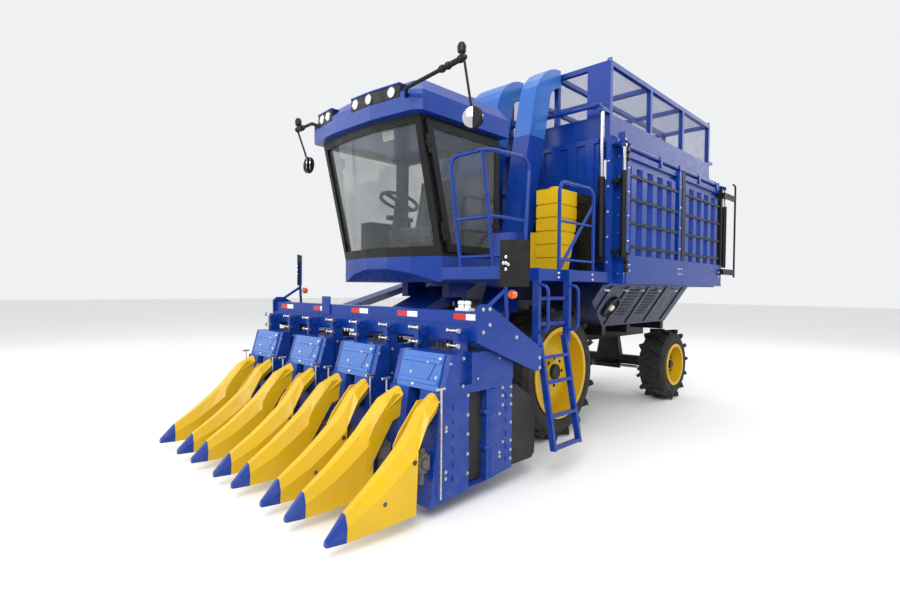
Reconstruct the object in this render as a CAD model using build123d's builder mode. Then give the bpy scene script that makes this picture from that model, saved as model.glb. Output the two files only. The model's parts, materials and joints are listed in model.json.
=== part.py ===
from build123d import *
import math
import os

os.makedirs("parts", exist_ok=True)

# A self-propelled four-row cotton picker, in mm. +X is forward, +Y is its left-hand side, +Z is up,
# and the origin is on the ground below the middle of the machine. Positions along X are mostly given
# as a distance back from the points of the snouts, so "back(d)" is the plane d behind them.

# Driving dimensions
tip_x = 3380
row_pitch = 760
row_count = 4
plate = 8

front_axle_x = tip_x - 3030
front_tyre_radius = 680
front_tyre_width = 400
front_rim_radius = 440
front_track = 1520

rear_axle_x = tip_x - 5890
rear_tyre_radius = 490
rear_tyre_width = 360
rear_rim_radius = 265
rear_track = 1630
kingpin_y = 540

clearance = 6
running_fit = 0.05


def back(distance):
    """The X of a plane that lies this far behind the points of the snouts."""
    return tip_x - distance


def block(x, y, z, mode=Mode.ADD):
    """A box between the pairs of limits x, y and z."""
    centre = ((x[0] + x[1]) / 2, (y[0] + y[1]) / 2, (z[0] + z[1]) / 2)
    with Locations(centre):
        Box(abs(x[1] - x[0]), abs(y[1] - y[0]), abs(z[1] - z[0]), mode=mode)


def slab(outline, y, mode=Mode.ADD):
    """A closed outline drawn in X and Z, between the pair of limits y."""
    with BuildSketch(Plane(origin=(0, max(y), 0), x_dir=(1, 0, 0), z_dir=(0, -1, 0))) as shape:
        with BuildLine():
            Polyline(*outline, close=True)
        make_face()
    extrude(shape.sketch, amount=abs(y[1] - y[0]), mode=mode)


def bulkhead(outline, x, mode=Mode.ADD):
    """A closed outline drawn in Y and Z, between the pair of limits x."""
    with BuildSketch(Plane(origin=(min(x), 0, 0), x_dir=(0, 1, 0), z_dir=(1, 0, 0))) as shape:
        with BuildLine():
            Polyline(*outline, close=True)
        make_face()
    extrude(shape.sketch, amount=abs(x[1] - x[0]), mode=mode)


def deck_plate(outline, z, mode=Mode.ADD):
    """A closed outline drawn in X and Y, between the pair of limits z."""
    with BuildSketch(Plane.XY.offset(min(z))) as shape:
        with BuildLine():
            Polyline(*outline, close=True)
        make_face()
    extrude(shape.sketch, amount=abs(z[1] - z[0]), mode=mode)


def bar(start, end, radius, mode=Mode.ADD):
    """A round bar from one point to another."""
    run = Vector(*end) - Vector(*start)
    with BuildSketch(Plane(origin=start, z_dir=run)) as shape:
        Circle(radius)
    extrude(shape.sketch, amount=run.length, mode=mode)


def skinned(rings, closed=False):
    """A solid of flat faces over a row of rings with as many points each; closed joins last to first."""
    faces = []
    rings = [[Vector(*point) for point in ring] for ring in rings]
    for near, far in zip(rings, rings[1:] + (rings[:1] if closed else [])):
        for index, corner in enumerate(near):
            after = (index + 1) % len(near)
            corners = [corner, near[after], far[after], far[index]]
            twist = (corners[1] - corner).cross(corners[2] - corner).dot(corners[3] - corner)
            if abs(twist) < 1:
                faces.append(Face(Wire.make_polygon(corners)))
            else:
                faces.append(Face(Wire.make_polygon(corners[:3])))
                faces.append(Face(Wire.make_polygon([corner, corners[2], corners[3]])))
    if not closed:
        faces.append(Face(Wire.make_polygon(rings[0])))
        faces.append(Face(Wire.make_polygon(rings[-1])))
    solid = Solid(Shell(faces))
    return solid if solid.volume > 0 else Solid(solid.wrapped.Reversed())


tube_sides = 8
bend_steps = 3


def bent_tube(points, radius, bend):
    """A tube of eight flat sides through points, with a bend of one radius at every corner."""
    points = [Vector(*point) for point in points]
    path = [points[0]]
    for before, corner, after in zip(points, points[1:], points[2:]):
        inward = (before - corner).normalized()
        outward = (after - corner).normalized()
        half_turn = (math.pi - math.acos(max(-1, min(1, inward.dot(outward))))) / 2
        reach = bend * math.tan(half_turn)
        centre = corner + (inward + outward).normalized() * (bend / math.cos(half_turn))
        start = corner + inward * reach - centre
        finish_arm = corner + outward * reach - centre
        for step in range(bend_steps + 1):
            share = step / bend_steps
            arm = (start * math.sin((1 - share) * 2 * half_turn) + finish_arm * math.sin(share * 2 * half_turn))
            path.append(centre + arm * (1 / math.sin(2 * half_turn)))
    path.append(points[-1])
    run = (path[1] - path[0]).normalized()
    side = run.cross(Vector(0, 0, 1) if abs(run.Z) < 0.9 else Vector(1, 0, 0)).normalized()
    up = run.cross(side)
    ring = []
    for index in range(tube_sides):
        turn = 2 * math.pi * (index + 0.5) / tube_sides
        ring.append(path[0] + side * (radius * math.cos(turn)) + up * (radius * math.sin(turn)))
    rings = [ring]
    for here, later, last in zip(path[1:], path[2:] + [None], [False] * (len(path) - 2) + [True]):
        onward = run if last else (later - here).normalized()
        mitre = (run + onward).normalized()
        ring = [point + run * ((here - point).dot(mitre) / run.dot(mitre)) for point in ring]
        rings.append(ring)
        run = onward
    add(skinned(rings))


def ring_of(profile, centre, sides, mode=Mode.ADD):
    """A closed profile of (radius, Y) points carried round a cross shaft in this many flat facets."""
    rings = []
    for index in range(sides):
        turn = 2 * math.pi * (index + 0.5) / sides
        rings.append([(centre[0] + radius * math.sin(turn), centre[1] + y, centre[2] - radius * math.cos(turn))
                      for radius, y in profile])
    add(skinned(rings, closed=True), mode=mode)


def snout_body(rows, centre_y):
    """A body through upright sections; a row is x, bottom, shoulder, top, half width, Y offset."""
    rings = []
    for x, bottom, shoulder, top, half, offset in rows:
        y = centre_y + offset
        rings.append([(x, y - 0.8 * half, bottom), (x, y + 0.8 * half, bottom), (x, y + half, shoulder),
                      (x, y + 0.45 * half, top - 0.12 * half), (x, y, top),
                      (x, y - 0.45 * half, top - 0.12 * half), (x, y - half, shoulder)])
    add(skinned(rings))


def finish(builder, name):
    """Labels a finished piece and writes it."""
    builder.part.label = name
    export_step(builder.part, f"parts/{name}.step")


# ---------------------------------------------------------------------------------------------
# Wheels: lugged drive tyres in front, smaller ones that steer behind, on dished disc rims
# ---------------------------------------------------------------------------------------------

lug_height = 32
lug_root = 30
front_facets = 32
rear_facets = 24


def make_tyre(centre, radius, width, rim_radius, facets, lugs, lug_thickness, side):
    """A tyre with two rows of slanted lugs that meet near the middle of the tread."""
    tread = radius - lug_height
    half = width / 2
    profile = [
        (rim_radius, -0.80 * half), (rim_radius + 70, -0.98 * half), (tread - 70, -0.97 * half),
        (tread - 14, -0.78 * half), (tread, 0), (tread - 14, 0.78 * half),
        (tread - 70, 0.97 * half), (rim_radius + 70, 0.98 * half), (rim_radius, 0.80 * half),
    ]
    slant = 32
    lug_length = 1.06 * half
    reach = (lug_length * math.sin(math.radians(slant)) + lug_thickness * math.cos(math.radians(slant))) / 2
    lug_top = math.sqrt(radius ** 2 - reach ** 2)
    lug_depth = lug_top - tread + lug_root
    with BuildPart() as tyre:
        ring_of(profile, centre, facets)
        for index in range(lugs):
            for row in (-1, 1):
                turn = 90 + 360 * (index + 0.25 * (1 + row)) / lugs
                spot = Location(centre) * Location((0, 0, 0), (0, turn, 0))
                spot = spot * Location((lug_top - lug_depth / 2, row * 0.48 * half, 0), (-row * side * slant, 0, 0))
                with Locations(spot):
                    Box(lug_depth, lug_length, lug_thickness)
    return tyre


def make_rim(centre, rim_radius, facets, half_width, dish, hub_radius, bore, side):
    """A rim in one pressing: barrel, flanges, a disc set back from the outer edge, and the hub on it."""
    wall = 14
    lip = 26
    face = half_width - dish
    inner = rim_radius - wall
    profile = [
        (inner, -half_width - 34), (rim_radius + lip, -half_width - 34), (rim_radius + lip, -half_width - 22),
        (rim_radius, -half_width - 22), (rim_radius, half_width + 22), (rim_radius + lip, half_width + 22),
        (rim_radius + lip, half_width + 34), (inner, half_width + 34), (inner, face - 2 * wall),
        (0.62 * rim_radius, face), (hub_radius, face), (0.8 * hub_radius, face + 60), (0.6 * hub_radius, face + 60),
        (0.6 * hub_radius, face - 120), (hub_radius, face - 120), (hub_radius, face - wall),
        (0.62 * rim_radius, face - wall), (inner, face - 3 * wall),
    ]
    with BuildPart() as rim:
        ring_of([(radius, side * y) for radius, y in profile], centre, facets)
        bar((centre[0], centre[1] + side * (face - 120), centre[2]),
            (centre[0], centre[1] + side * (face + 60), centre[2]), 0.7 * hub_radius)
        bar((centre[0], centre[1] + side * (face - 121), centre[2]),
            (centre[0], centre[1] + side * (face + 61), centre[2]), bore, mode=Mode.SUBTRACT)
    return rim


front_wheel_centre = (front_axle_x, front_track / 2, front_tyre_radius)
rear_wheel_centre = (rear_axle_x, rear_track / 2, rear_tyre_radius)
front_spindle_radius = 62
rear_spindle_radius = 44
front_rim_half = 0.80 * front_tyre_width / 2
rear_rim_half = 0.80 * rear_tyre_width / 2
front_dish = 120
rear_dish = 110

front_tyre_left = make_tyre(front_wheel_centre, front_tyre_radius, front_tyre_width,
                            front_rim_radius, front_facets, 18, 46, 1)
rear_tyre_left = make_tyre(rear_wheel_centre, rear_tyre_radius, rear_tyre_width,
                           rear_rim_radius, rear_facets, 14, 42, 1)
front_rim_left = make_rim(front_wheel_centre, front_rim_radius, front_facets, front_rim_half, front_dish,
                          130, front_spindle_radius + running_fit, 1)
rear_rim_left = make_rim(rear_wheel_centre, rear_rim_radius, rear_facets, rear_rim_half, rear_dish,
                         88, rear_spindle_radius + running_fit, 1)

for left_piece, stem in ((front_tyre_left, "front_tyre"), (rear_tyre_left, "rear_tyre"),
                         (front_rim_left, "front_rim"), (rear_rim_left, "rear_rim")):
    finish(left_piece, f"{stem}_left")
    with BuildPart() as right_piece:
        mirror(left_piece.part, about=Plane.XZ)
    finish(right_piece, f"{stem}_right")

# ---------------------------------------------------------------------------------------------
# Chassis: two rails with cross members, the drive axle in front and the steered axle behind
# ---------------------------------------------------------------------------------------------

rail_inner = 250
rail_outer = 340
rail_bottom = 860
rail_top = 1020
rail_front_x = back(2000)
rail_rear_x = back(6300)
lift_pivot = (back(2680), 1000)
lift_pin_radius = 30
lift_arm_y = (400, 460)
barrel_pin = (back(2620), 585)
cross_members = (back(2060), back(2960), back(3900), back(5830))
bearers = (back(3800), back(4400), back(5380))
bearer_half = 1000
hood_bottom = 1120
tow_x = back(6350)
tow_radius = 20.05

with BuildPart() as chassis_frame:
    for side in (-1, 1):
        block((rail_rear_x, rail_front_x), (side * rail_inner, side * rail_outer), (rail_bottom, rail_top))
        x, z = lift_pivot
        slab([(x - 130, rail_bottom), (x + 130, rail_bottom), (x + 60, z + 60), (x - 60, z + 60)],
             (side * rail_outer, side * (rail_outer + 20)))
        bar((x, side * rail_outer, z), (x, side * (lift_arm_y[1] + 14), z), lift_pin_radius)
        x, z = barrel_pin
        slab([(x - 90, rail_bottom), (x + 90, rail_bottom), (x + 50, z - 50), (x - 50, z - 50)],
             (side * (rail_outer - 20), side * rail_outer))
        bar((x, side * rail_outer, z), (x, side * (lift_arm_y[1] + 14), z), 25)
    block((rail_rear_x, rail_rear_x + 60), (-rail_inner, rail_inner), (rail_bottom, rail_bottom + 80))
    block((tow_x - 45, rail_rear_x + 30), (-60, 60), (rail_bottom + 20, rail_bottom + 60))
    bar((tow_x, 0, rail_bottom + 10), (tow_x, 0, rail_bottom + 70), tow_radius, mode=Mode.SUBTRACT)
finish(chassis_frame, "chassis_frame")

with BuildPart() as frame_members:
    for x in cross_members:
        block((x - 50, x + 50), (-rail_inner, rail_inner), (rail_bottom + 30, rail_top - 20))
    for x in bearers:
        for side in (-1, 1):
            block((x - 40, x + 40), (side * rail_inner, side * bearer_half), (rail_top, hood_bottom))
finish(frame_members, "frame_members")

front_axle_radius = 110
front_hub_gap = 10
rim_hub_inner = front_track / 2 + (front_rim_half - front_dish) - 120

with BuildPart() as front_axle:
    bar((front_axle_x, -rail_outer - 150, front_tyre_radius), (front_axle_x, rail_outer + 150, front_tyre_radius),
        front_axle_radius)
    for side in (-1, 1):
        block((front_axle_x - 110, front_axle_x + 110), (side * rail_inner, side * rail_outer),
              (front_tyre_radius, rail_bottom))
        bar((front_axle_x, side * (rail_outer + 150), front_tyre_radius),
            (front_axle_x, side * (rim_hub_inner - front_hub_gap), front_tyre_radius), 150)
        bar((front_axle_x, side * (rim_hub_inner - front_hub_gap), front_tyre_radius),
            (front_axle_x, side * (rim_hub_inner + 150), front_tyre_radius), front_spindle_radius)
    bar((front_axle_x - 150, 0, front_tyre_radius), (front_axle_x + 150, 0, front_tyre_radius), 175)
finish(front_axle, "front_axle")

kingpin_radius = 28
boss_radius = 58
boss_z = (rear_tyre_radius - 85, rear_tyre_radius + 85)
ear = 34
steer_arm = 130
steer_pin_radius = 12
steer_rod_x = rear_axle_x + steer_arm
steer_rod_z = boss_z[0] + 10
steer_barrel_radius = 46

with BuildPart() as rear_axle:
    block((rear_axle_x - 60, rear_axle_x + 60), (-kingpin_y, kingpin_y),
          (rear_tyre_radius - 60, rear_tyre_radius + 70))
    for side in (-1, 1):
        bar((rear_axle_x, side * kingpin_y, boss_z[0]), (rear_axle_x, side * kingpin_y, boss_z[1]), boss_radius)
        bar((rear_axle_x, side * kingpin_y, boss_z[0] - 1), (rear_axle_x, side * kingpin_y, boss_z[1] + 1),
            kingpin_radius + running_fit, mode=Mode.SUBTRACT)
    bulkhead([(-190, rear_tyre_radius + 60), (190, rear_tyre_radius + 60), (130, rail_bottom + 30),
              (-130, rail_bottom + 30)], (rear_axle_x - 50, rear_axle_x + 50))
    bar((steer_rod_x, -230, steer_rod_z), (steer_rod_x, 230, steer_rod_z), steer_barrel_radius)
    block((rear_axle_x + 50, steer_rod_x), (-150, 150), (rear_tyre_radius - 60, steer_rod_z + 60))
    bar((steer_rod_x, -232, steer_rod_z), (steer_rod_x, 232, steer_rod_z), 20 + running_fit, mode=Mode.SUBTRACT)
finish(rear_axle, "rear_axle")

web_y = (kingpin_y + boss_radius + 4, kingpin_y + boss_radius + 38)
rear_hub_inner = rear_track / 2 + (rear_rim_half - rear_dish) - 120

with BuildPart() as rear_knuckle_left:
    bar((rear_axle_x, kingpin_y, boss_z[0] - 1 - ear), (rear_axle_x, kingpin_y, boss_z[1] + 1 + ear), kingpin_radius)
    for z in ((boss_z[0] - 1 - ear, boss_z[0] - 1), (boss_z[1] + 1, boss_z[1] + 1 + ear)):
        bar((rear_axle_x, kingpin_y, z[0]), (rear_axle_x, kingpin_y, z[1]), boss_radius)
        block((rear_axle_x - boss_radius, rear_axle_x + boss_radius), (kingpin_y, web_y[1]), z)
    block((rear_axle_x - boss_radius, rear_axle_x + boss_radius), web_y,
          (boss_z[0] - 1 - ear, boss_z[1] + 1 + ear))
    bar((rear_axle_x, web_y[1], rear_tyre_radius), (rear_axle_x, rear_hub_inner - 4, rear_tyre_radius), 70)
    bar((rear_axle_x, rear_hub_inner - 4, rear_tyre_radius), (rear_axle_x, rear_hub_inner + 140, rear_tyre_radius),
        rear_spindle_radius)
    block((rear_axle_x, steer_rod_x + 30), (kingpin_y - 26, kingpin_y + 26), (boss_z[0] - 1 - ear, boss_z[0] - 1))
finish(rear_knuckle_left, "rear_knuckle_left")
with BuildPart() as rear_knuckle_right:
    mirror(rear_knuckle_left.part, about=Plane.XZ)
finish(rear_knuckle_right, "rear_knuckle_right")

steer_eye_z = (boss_z[0] + clearance - 1, boss_z[0] + clearance + 13)

with BuildPart() as steering_rod:
    bar((steer_rod_x, -(kingpin_y - 40), steer_rod_z), (steer_rod_x, kingpin_y - 40, steer_rod_z), 20)
    for side in (-1, 1):
        with Locations((steer_rod_x, side * (kingpin_y - 20), steer_rod_z + 2)):
            Cylinder(34, 14)
finish(steering_rod, "steering_rod")

# ---------------------------------------------------------------------------------------------
# Header: four picking units hung from a toolbar, carried on two lift arms with a cylinder each
# ---------------------------------------------------------------------------------------------

row_centres = [(index - (row_count - 1) / 2) * row_pitch for index in range(row_count)]
unit_half = 260
throat_half = 60
unit_rear_x = back(1620)
unit_top = 1080
cover_bottom = 835
cover_plate = 12
unit_front = [(back(762), 90), (back(853), cover_bottom)]
cover_slope = [(back(865), cover_bottom), (back(938), unit_top)]
unit_outline = [unit_front[0], unit_front[1], (cover_slope[0][0] - cover_plate, cover_bottom),
                (cover_slope[1][0] - cover_plate, unit_top), (unit_rear_x, unit_top), (unit_rear_x, 165)]
toolbar_x = (back(1290), back(1170))
toolbar_z = (1265, 1365)
toolbar_half = 1440
hanger_rail_x = back(1150)
hanger_rail_z = (1160, 1265)
hanger_x = (hanger_rail_x, back(1045))
cross_tube = (back(1880), 975)
cross_tube_radius = 55
recess_x = (back(1415), back(1130))
recess_z = (140, 800)
recess_depth = 70
side_band = 6
hanger_offset = 200
notch_depth = 85
notch_floor = 860


slot_count = 6
with BuildPart() as picking_units:
    for centre_y in row_centres:
        slab(unit_outline, (centre_y - unit_half, centre_y + unit_half))
        block((unit_rear_x - 1, back(700)), (centre_y - throat_half, centre_y + throat_half),
              (0, 1000), mode=Mode.SUBTRACT)
        for side in (-1, 1):
            wall = centre_y + side * unit_half
            block(recess_x, (wall - side * recess_depth, wall + side), recess_z, mode=Mode.SUBTRACT)
            slab([(unit_rear_x, 850), (back(1010), 850), (back(1010), 800), (back(860), 800),
                  (back(880), 840), (back(948), unit_top), (unit_rear_x, unit_top)],
                 (wall, wall + side * side_band))
            block((hanger_x[0], hanger_x[1] + 15), (wall - side * notch_depth, wall + side * (side_band + 1)),
                  (notch_floor, unit_top + 1), mode=Mode.SUBTRACT)
            block((recess_x[0] + 14, recess_x[0] + 84), (wall - side * 64, wall - side * 8),
                  (recess_z[0] - 1, recess_z[1] + 1))
            for x in (back(950), back(1525)):
                for index in range(slot_count):
                    z = 220 + 96 * index
                    slab([(x - 26, z), (x + 26, z + 24), (x + 26, z + 64), (x - 26, z + 40)],
                         (wall - side * 6, wall + side), mode=Mode.SUBTRACT)
            hanger_y = centre_y + side * hanger_offset
            block(hanger_x, (hanger_y - 22, hanger_y + 22), (notch_floor - 1, 1225))
            bar((hanger_x[0], hanger_y, 1225), (hanger_x[1], hanger_y, 1225), 22)
            bar((hanger_x[1] - 45, hanger_y - 40, 1190), (hanger_x[1] - 45, hanger_y + 40, 1190), 16)
finish(picking_units, "picking_units")

cover_half = 205
with BuildPart() as unit_covers:
    for centre_y in row_centres:
        rise = (cover_slope[1][0] - cover_slope[0][0], cover_slope[1][1] - cover_slope[0][1])
        slab([cover_slope[0], cover_slope[1], (cover_slope[1][0] - cover_plate, cover_slope[1][1]),
              (cover_slope[0][0] - cover_plate, cover_slope[0][1])], (centre_y - cover_half, centre_y + cover_half))
        for low, high, side_y in ((0.15, 0.27, 120), (0.72, 0.84, -120)):
            slab([(cover_slope[0][0] + low * rise[0] - 1, cover_slope[0][1] + low * rise[1]),
                  (cover_slope[0][0] + low * rise[0] + 7, cover_slope[0][1] + low * rise[1] + 4),
                  (cover_slope[0][0] + high * rise[0] + 7, cover_slope[0][1] + high * rise[1] - 4),
                  (cover_slope[0][0] + high * rise[0] - 1, cover_slope[0][1] + high * rise[1])],
                 (centre_y - cover_half + 12, centre_y + cover_half - 12))
finish(unit_covers, "unit_covers")

tip_length = 120
# x, bottom, shoulder, top, half width, distance of its middle from the row's
snout_rows = [
    (tip_x, 92, 108, 133, 18), (back(tip_length), 88, 178, 250, 42), (back(306), 94, 272, 372, 62),
    (back(419), 98, 350, 459, 74), (back(537), 105, 440, 556, 86), (back(606), 110, 505, 627, 94),
]
neck_rows = [(back(606), 480, 520, 627, 94), (back(720), 640, 690, 759, 84), (back(880), 745, 800, 842, 70)]
snout_offset = 222
neck_offsets = (222, 205, 175)

guard_y = (122, 130)
guard_outline = [(back(560), 300), (back(560), 520), (back(606), 600), (back(762), 780), (back(880), 780),
                 (back(880), 640), (back(762), 600)]

with BuildPart() as snout_tips:
    for centre_y in row_centres:
        for side in (-1, 1):
            snout_body([(*row, side * snout_offset) for row in snout_rows[:2]], centre_y)
finish(snout_tips, "snout_tips")

with BuildPart() as snouts:
    for centre_y in row_centres:
        for side in (-1, 1):
            snout_body([(*row, side * snout_offset) for row in snout_rows[1:]], centre_y)
            snout_body([(*row, side * offset) for row, offset in zip(neck_rows, neck_offsets)], centre_y)
            slab(guard_outline, (centre_y + side * guard_y[0], centre_y + side * guard_y[1]))
        slab(unit_outline, (centre_y - 320, centre_y + 320), mode=Mode.SUBTRACT)
        slab([cover_slope[0], cover_slope[1], (cover_slope[1][0] - 40, cover_slope[1][1]),
              (cover_slope[0][0] - 40, cover_slope[0][1])], (centre_y - 320, centre_y + 320), mode=Mode.SUBTRACT)
finish(snouts, "snouts")

with BuildPart() as crop_flaps:
    for side in (-1, 1):
        wall = row_centres[-1] + unit_half
        slab([(unit_rear_x, 180), (unit_rear_x, 800), (unit_rear_x - 40, 800), (unit_rear_x - 300, 640),
              (unit_rear_x - 300, 220), (unit_rear_x - 260, 180)], (side * (wall - 8), side * wall))
finish(crop_flaps, "crop_flaps")

end_plate = [(back(1141), 1383), (back(1182), 1417), (back(1260), 1416), (back(1920), 1057), (back(1917), 894),
             (back(1841), 882), (back(1145), 1150)]
with BuildPart() as toolbar:
    block(toolbar_x, (-toolbar_half, toolbar_half), toolbar_z)
    block((toolbar_x[0] + 30, hanger_rail_x), (-toolbar_half, toolbar_half), hanger_rail_z)
    bar((cross_tube[0], -toolbar_half, cross_tube[1]), (cross_tube[0], toolbar_half, cross_tube[1]),
        cross_tube_radius)
    for side in (-1, 1):
        slab(end_plate, (side * toolbar_half, side * (toolbar_half + 20)))
    slab([(toolbar_x[1], 1270), (toolbar_x[1] + 12, 1270), (toolbar_x[1] + 12, 1440), (toolbar_x[1], 1440)],
         (-520, -390))
finish(toolbar, "toolbar")

rod_eye = (back(1940), 850)
rod_eye_y = (436, 470)
with BuildPart() as lift_arms:
    for side in (-1, 1):
        x, z = lift_pivot
        slab([(x - 70, z - 60), (x, z - 100), (rod_eye[0] - 70, 900), (rod_eye[0] - 40, rod_eye[1] - 40),
              (rod_eye[0] + 30, rod_eye[1] - 40), (rod_eye[0] + 60, 900), (cross_tube[0] + 60, 915),
              (unit_rear_x, unit_top + 20), (toolbar_x[0], toolbar_z[0]), (toolbar_x[0], toolbar_z[1]),
              (cross_tube[0], 1070), (x, z + 90), (x - 70, z + 60)],
             (side * lift_arm_y[0], side * lift_arm_y[1]))
        block((rod_eye[0] - 90, rod_eye[0] + 70), (side * (lift_arm_y[0] + 30), side * (lift_arm_y[1] + 1)),
              (rod_eye[1] - 60, rod_eye[1] + 50), mode=Mode.SUBTRACT)
        bar((x, side * (lift_arm_y[0] - 1), z), (x, side * (lift_arm_y[1] + 1), z),
            lift_pin_radius + running_fit, mode=Mode.SUBTRACT)
        bar((cross_tube[0], side * (lift_arm_y[0] - 1), cross_tube[1]),
            (cross_tube[0], side * (lift_arm_y[1] + 1), cross_tube[1]), cross_tube_radius + 0.2, mode=Mode.SUBTRACT)
finish(lift_arms, "lift_arms")

barrel_y = 453
barrel_radius = 38
lift_rod_radius = 22
lift_run = (Vector(rod_eye[0], 0, rod_eye[1]) - Vector(barrel_pin[0], 0, barrel_pin[1])).normalized()
lift_reach = math.dist(rod_eye, barrel_pin)
barrel_length = lift_reach - 150


def along_lift(distance, y):
    """A point on the lift cylinder's centre line, this far from its lower pin."""
    return (barrel_pin[0] + lift_run.X * distance, y, barrel_pin[1] + lift_run.Z * distance)


with BuildPart() as header_barrels:
    for side in (-1, 1):
        y = side * barrel_y
        bar(along_lift(0, y - 18), along_lift(0, y + 18), 48)
        bar(along_lift(30, y), along_lift(80, y), 20)
        bar(along_lift(60, y), along_lift(barrel_length, y), barrel_radius)
        bar(along_lift(0, y - 19), along_lift(0, y + 19), 25 + running_fit, mode=Mode.SUBTRACT)
        bar(along_lift(100, y), along_lift(barrel_length + 1, y), lift_rod_radius + running_fit, mode=Mode.SUBTRACT)
finish(header_barrels, "header_barrels")

with BuildPart() as header_rods:
    for side in (-1, 1):
        y = side * barrel_y
        bar(along_lift(200, y), along_lift(lift_reach - 20, y), lift_rod_radius)
        bar(along_lift(lift_reach, y - 17), along_lift(lift_reach, y + 17), 40)
        bar(along_lift(lift_reach, y - 18), along_lift(lift_reach, y + 18), 16, mode=Mode.SUBTRACT)
finish(header_rods, "header_rods")

mirror_centre = (back(1490), 1508, 1713)
mirror_plate = (14, 215, 340)
mirror_turn = 40
mirror_arm_y = toolbar_half + 10
mirror_arm_z = mirror_centre[2] - mirror_plate[2] / 2 - 20
mirror_arm_x = (mirror_centre[0] + (mirror_centre[1] - mirror_arm_y) * math.tan(math.radians(mirror_turn))
                - mirror_plate[0] / 2 / math.cos(math.radians(mirror_turn)) - 13)
with BuildPart() as header_mirror_plates:
    for side in (-1, 1):
        with Locations(Location((mirror_centre[0], side * mirror_centre[1], mirror_centre[2]),
                                (0, 0, side * mirror_turn))):
            Box(*mirror_plate)
finish(header_mirror_plates, "header_mirror_plates")

with BuildPart() as header_mirrors:
    for side in (-1, 1):
        y = side * mirror_arm_y
        bar((back(1230), y, 1380), (mirror_arm_x, y, mirror_arm_z), 14)
        bar((back(1480), y, 1270), (mirror_arm_x, y, mirror_arm_z), 14)
        bar((mirror_arm_x, y, mirror_arm_z - 14), (mirror_arm_x, y, mirror_centre[2] + 90), 14)
        slab(end_plate, (side * (toolbar_half - 60), side * (toolbar_half + 80)), mode=Mode.SUBTRACT)
    add(header_mirror_plates.part, mode=Mode.SUBTRACT)
finish(header_mirrors, "header_mirrors")

# ---------------------------------------------------------------------------------------------
# Body: engine under the basket, the basket with its walls, posts and floor
# ---------------------------------------------------------------------------------------------

basket_front_x = back(3250)
basket_rear_x = back(6330)
basket_half = 1340
basket_floor_z = (1575, 1630)
basket_top = 3050
wall_half = 1200
wall_depth = 40
post_inner = 1290
hood_x = (back(5450), back(3200))
hood_top_half = 1300
hood_bottom_half = 1000
hood_wall = 10
hood_ribs = (back(3420), back(3800), back(4300), back(4800), back(5300))


def hood_section(grow):
    """The hood's trapezium seen from the front, smaller all round by grow."""
    return [(-hood_bottom_half + grow, hood_bottom), (hood_bottom_half - grow, hood_bottom),
            (hood_top_half - grow, basket_floor_z[0]), (-hood_top_half + grow, basket_floor_z[0])]


hood_side = [(hood_x[1], basket_floor_z[0]), (hood_x[1], 1400), (back(3760), hood_bottom),
             (hood_x[0], hood_bottom), (hood_x[0], basket_floor_z[0])]
hood_hollow = [(hood_x[1] - 10, basket_floor_z[0]), (hood_x[1] - 10, 1407), (back(3763), hood_bottom),
               (hood_x[0] + 10, hood_bottom), (hood_x[0] + 10, basket_floor_z[0])]
lean = (hood_top_half - hood_bottom_half) / (basket_floor_z[0] - hood_bottom)

with BuildPart() as hood_inside:
    bulkhead(hood_section(hood_wall), hood_x)
    slab(hood_hollow, (-basket_half, basket_half), mode=Mode.INTERSECT)

with BuildPart() as engine_hood:
    bulkhead(hood_section(0), hood_x)
    for side in (-1, 1):
        for x in hood_ribs:
            bulkhead([(side * (hood_bottom_half + 20 * lean - 2), hood_bottom + 20),
                      (side * (hood_bottom_half + 20 * lean + 14), hood_bottom + 20),
                      (side * (hood_top_half - 20 * lean + 14), basket_floor_z[0] - 20),
                      (side * (hood_top_half - 20 * lean - 2), basket_floor_z[0] - 20)], (x - 38, x + 38))
    slab(hood_side, (-basket_half - 20, basket_half + 20), mode=Mode.INTERSECT)
    add(hood_inside.part, mode=Mode.SUBTRACT)
finish(engine_hood, "engine_hood")

with BuildPart() as engine_block:
    block((back(5250), back(4000)), (-240, 240), (rail_top - 150, 1480))
    for x in (back(5200), back(4050)):
        block((x - 40, x + 40), (-rail_inner, rail_inner), (rail_top - 150, rail_top - 60))
finish(engine_block, "engine_block")

with BuildPart() as basket_floor:
    block((basket_rear_x, basket_front_x), (-basket_half, basket_half), basket_floor_z)
finish(basket_floor, "basket_floor")


def corrugated(x, y, z, across, ribs, rib_width, rib_depth, outward):
    """A flat sheet between x, y and z with upright ribs on its outward side."""
    block(x, y, z)
    for index in range(ribs):
        if across == "Y":
            spot = y[0] + (index + 0.5) * (y[1] - y[0]) / ribs
            face = x[1] if outward > 0 else x[0]
            block((face, face + outward * rib_depth), (spot - rib_width / 2, spot + rib_width / 2),
                  (z[0] + 40, z[1] - 40))
        else:
            spot = x[0] + (index + 0.5) * (x[1] - x[0]) / ribs
            face = y[1] if outward > 0 else y[0]
            block((spot - rib_width / 2, spot + rib_width / 2), (face, face + outward * rib_depth),
                  (z[0] + 40, z[1] - 40))


with BuildPart() as basket_end_walls:
    corrugated((basket_front_x - wall_depth, basket_front_x - 20), (-wall_half, wall_half),
               (basket_floor_z[1], basket_top), "Y", 12, 100, 20, 1)
    block((basket_front_x - wall_depth, basket_front_x), (-wall_half, wall_half), (basket_top - 50, basket_top))
    corrugated((basket_rear_x + 20, basket_rear_x + wall_depth), (-wall_half, wall_half),
               (basket_floor_z[1], basket_top), "Y", 12, 100, 20, -1)
    block((basket_rear_x, basket_rear_x + wall_depth), (-wall_half, wall_half), (basket_top - 50, basket_top))
finish(basket_end_walls, "basket_end_walls")

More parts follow.
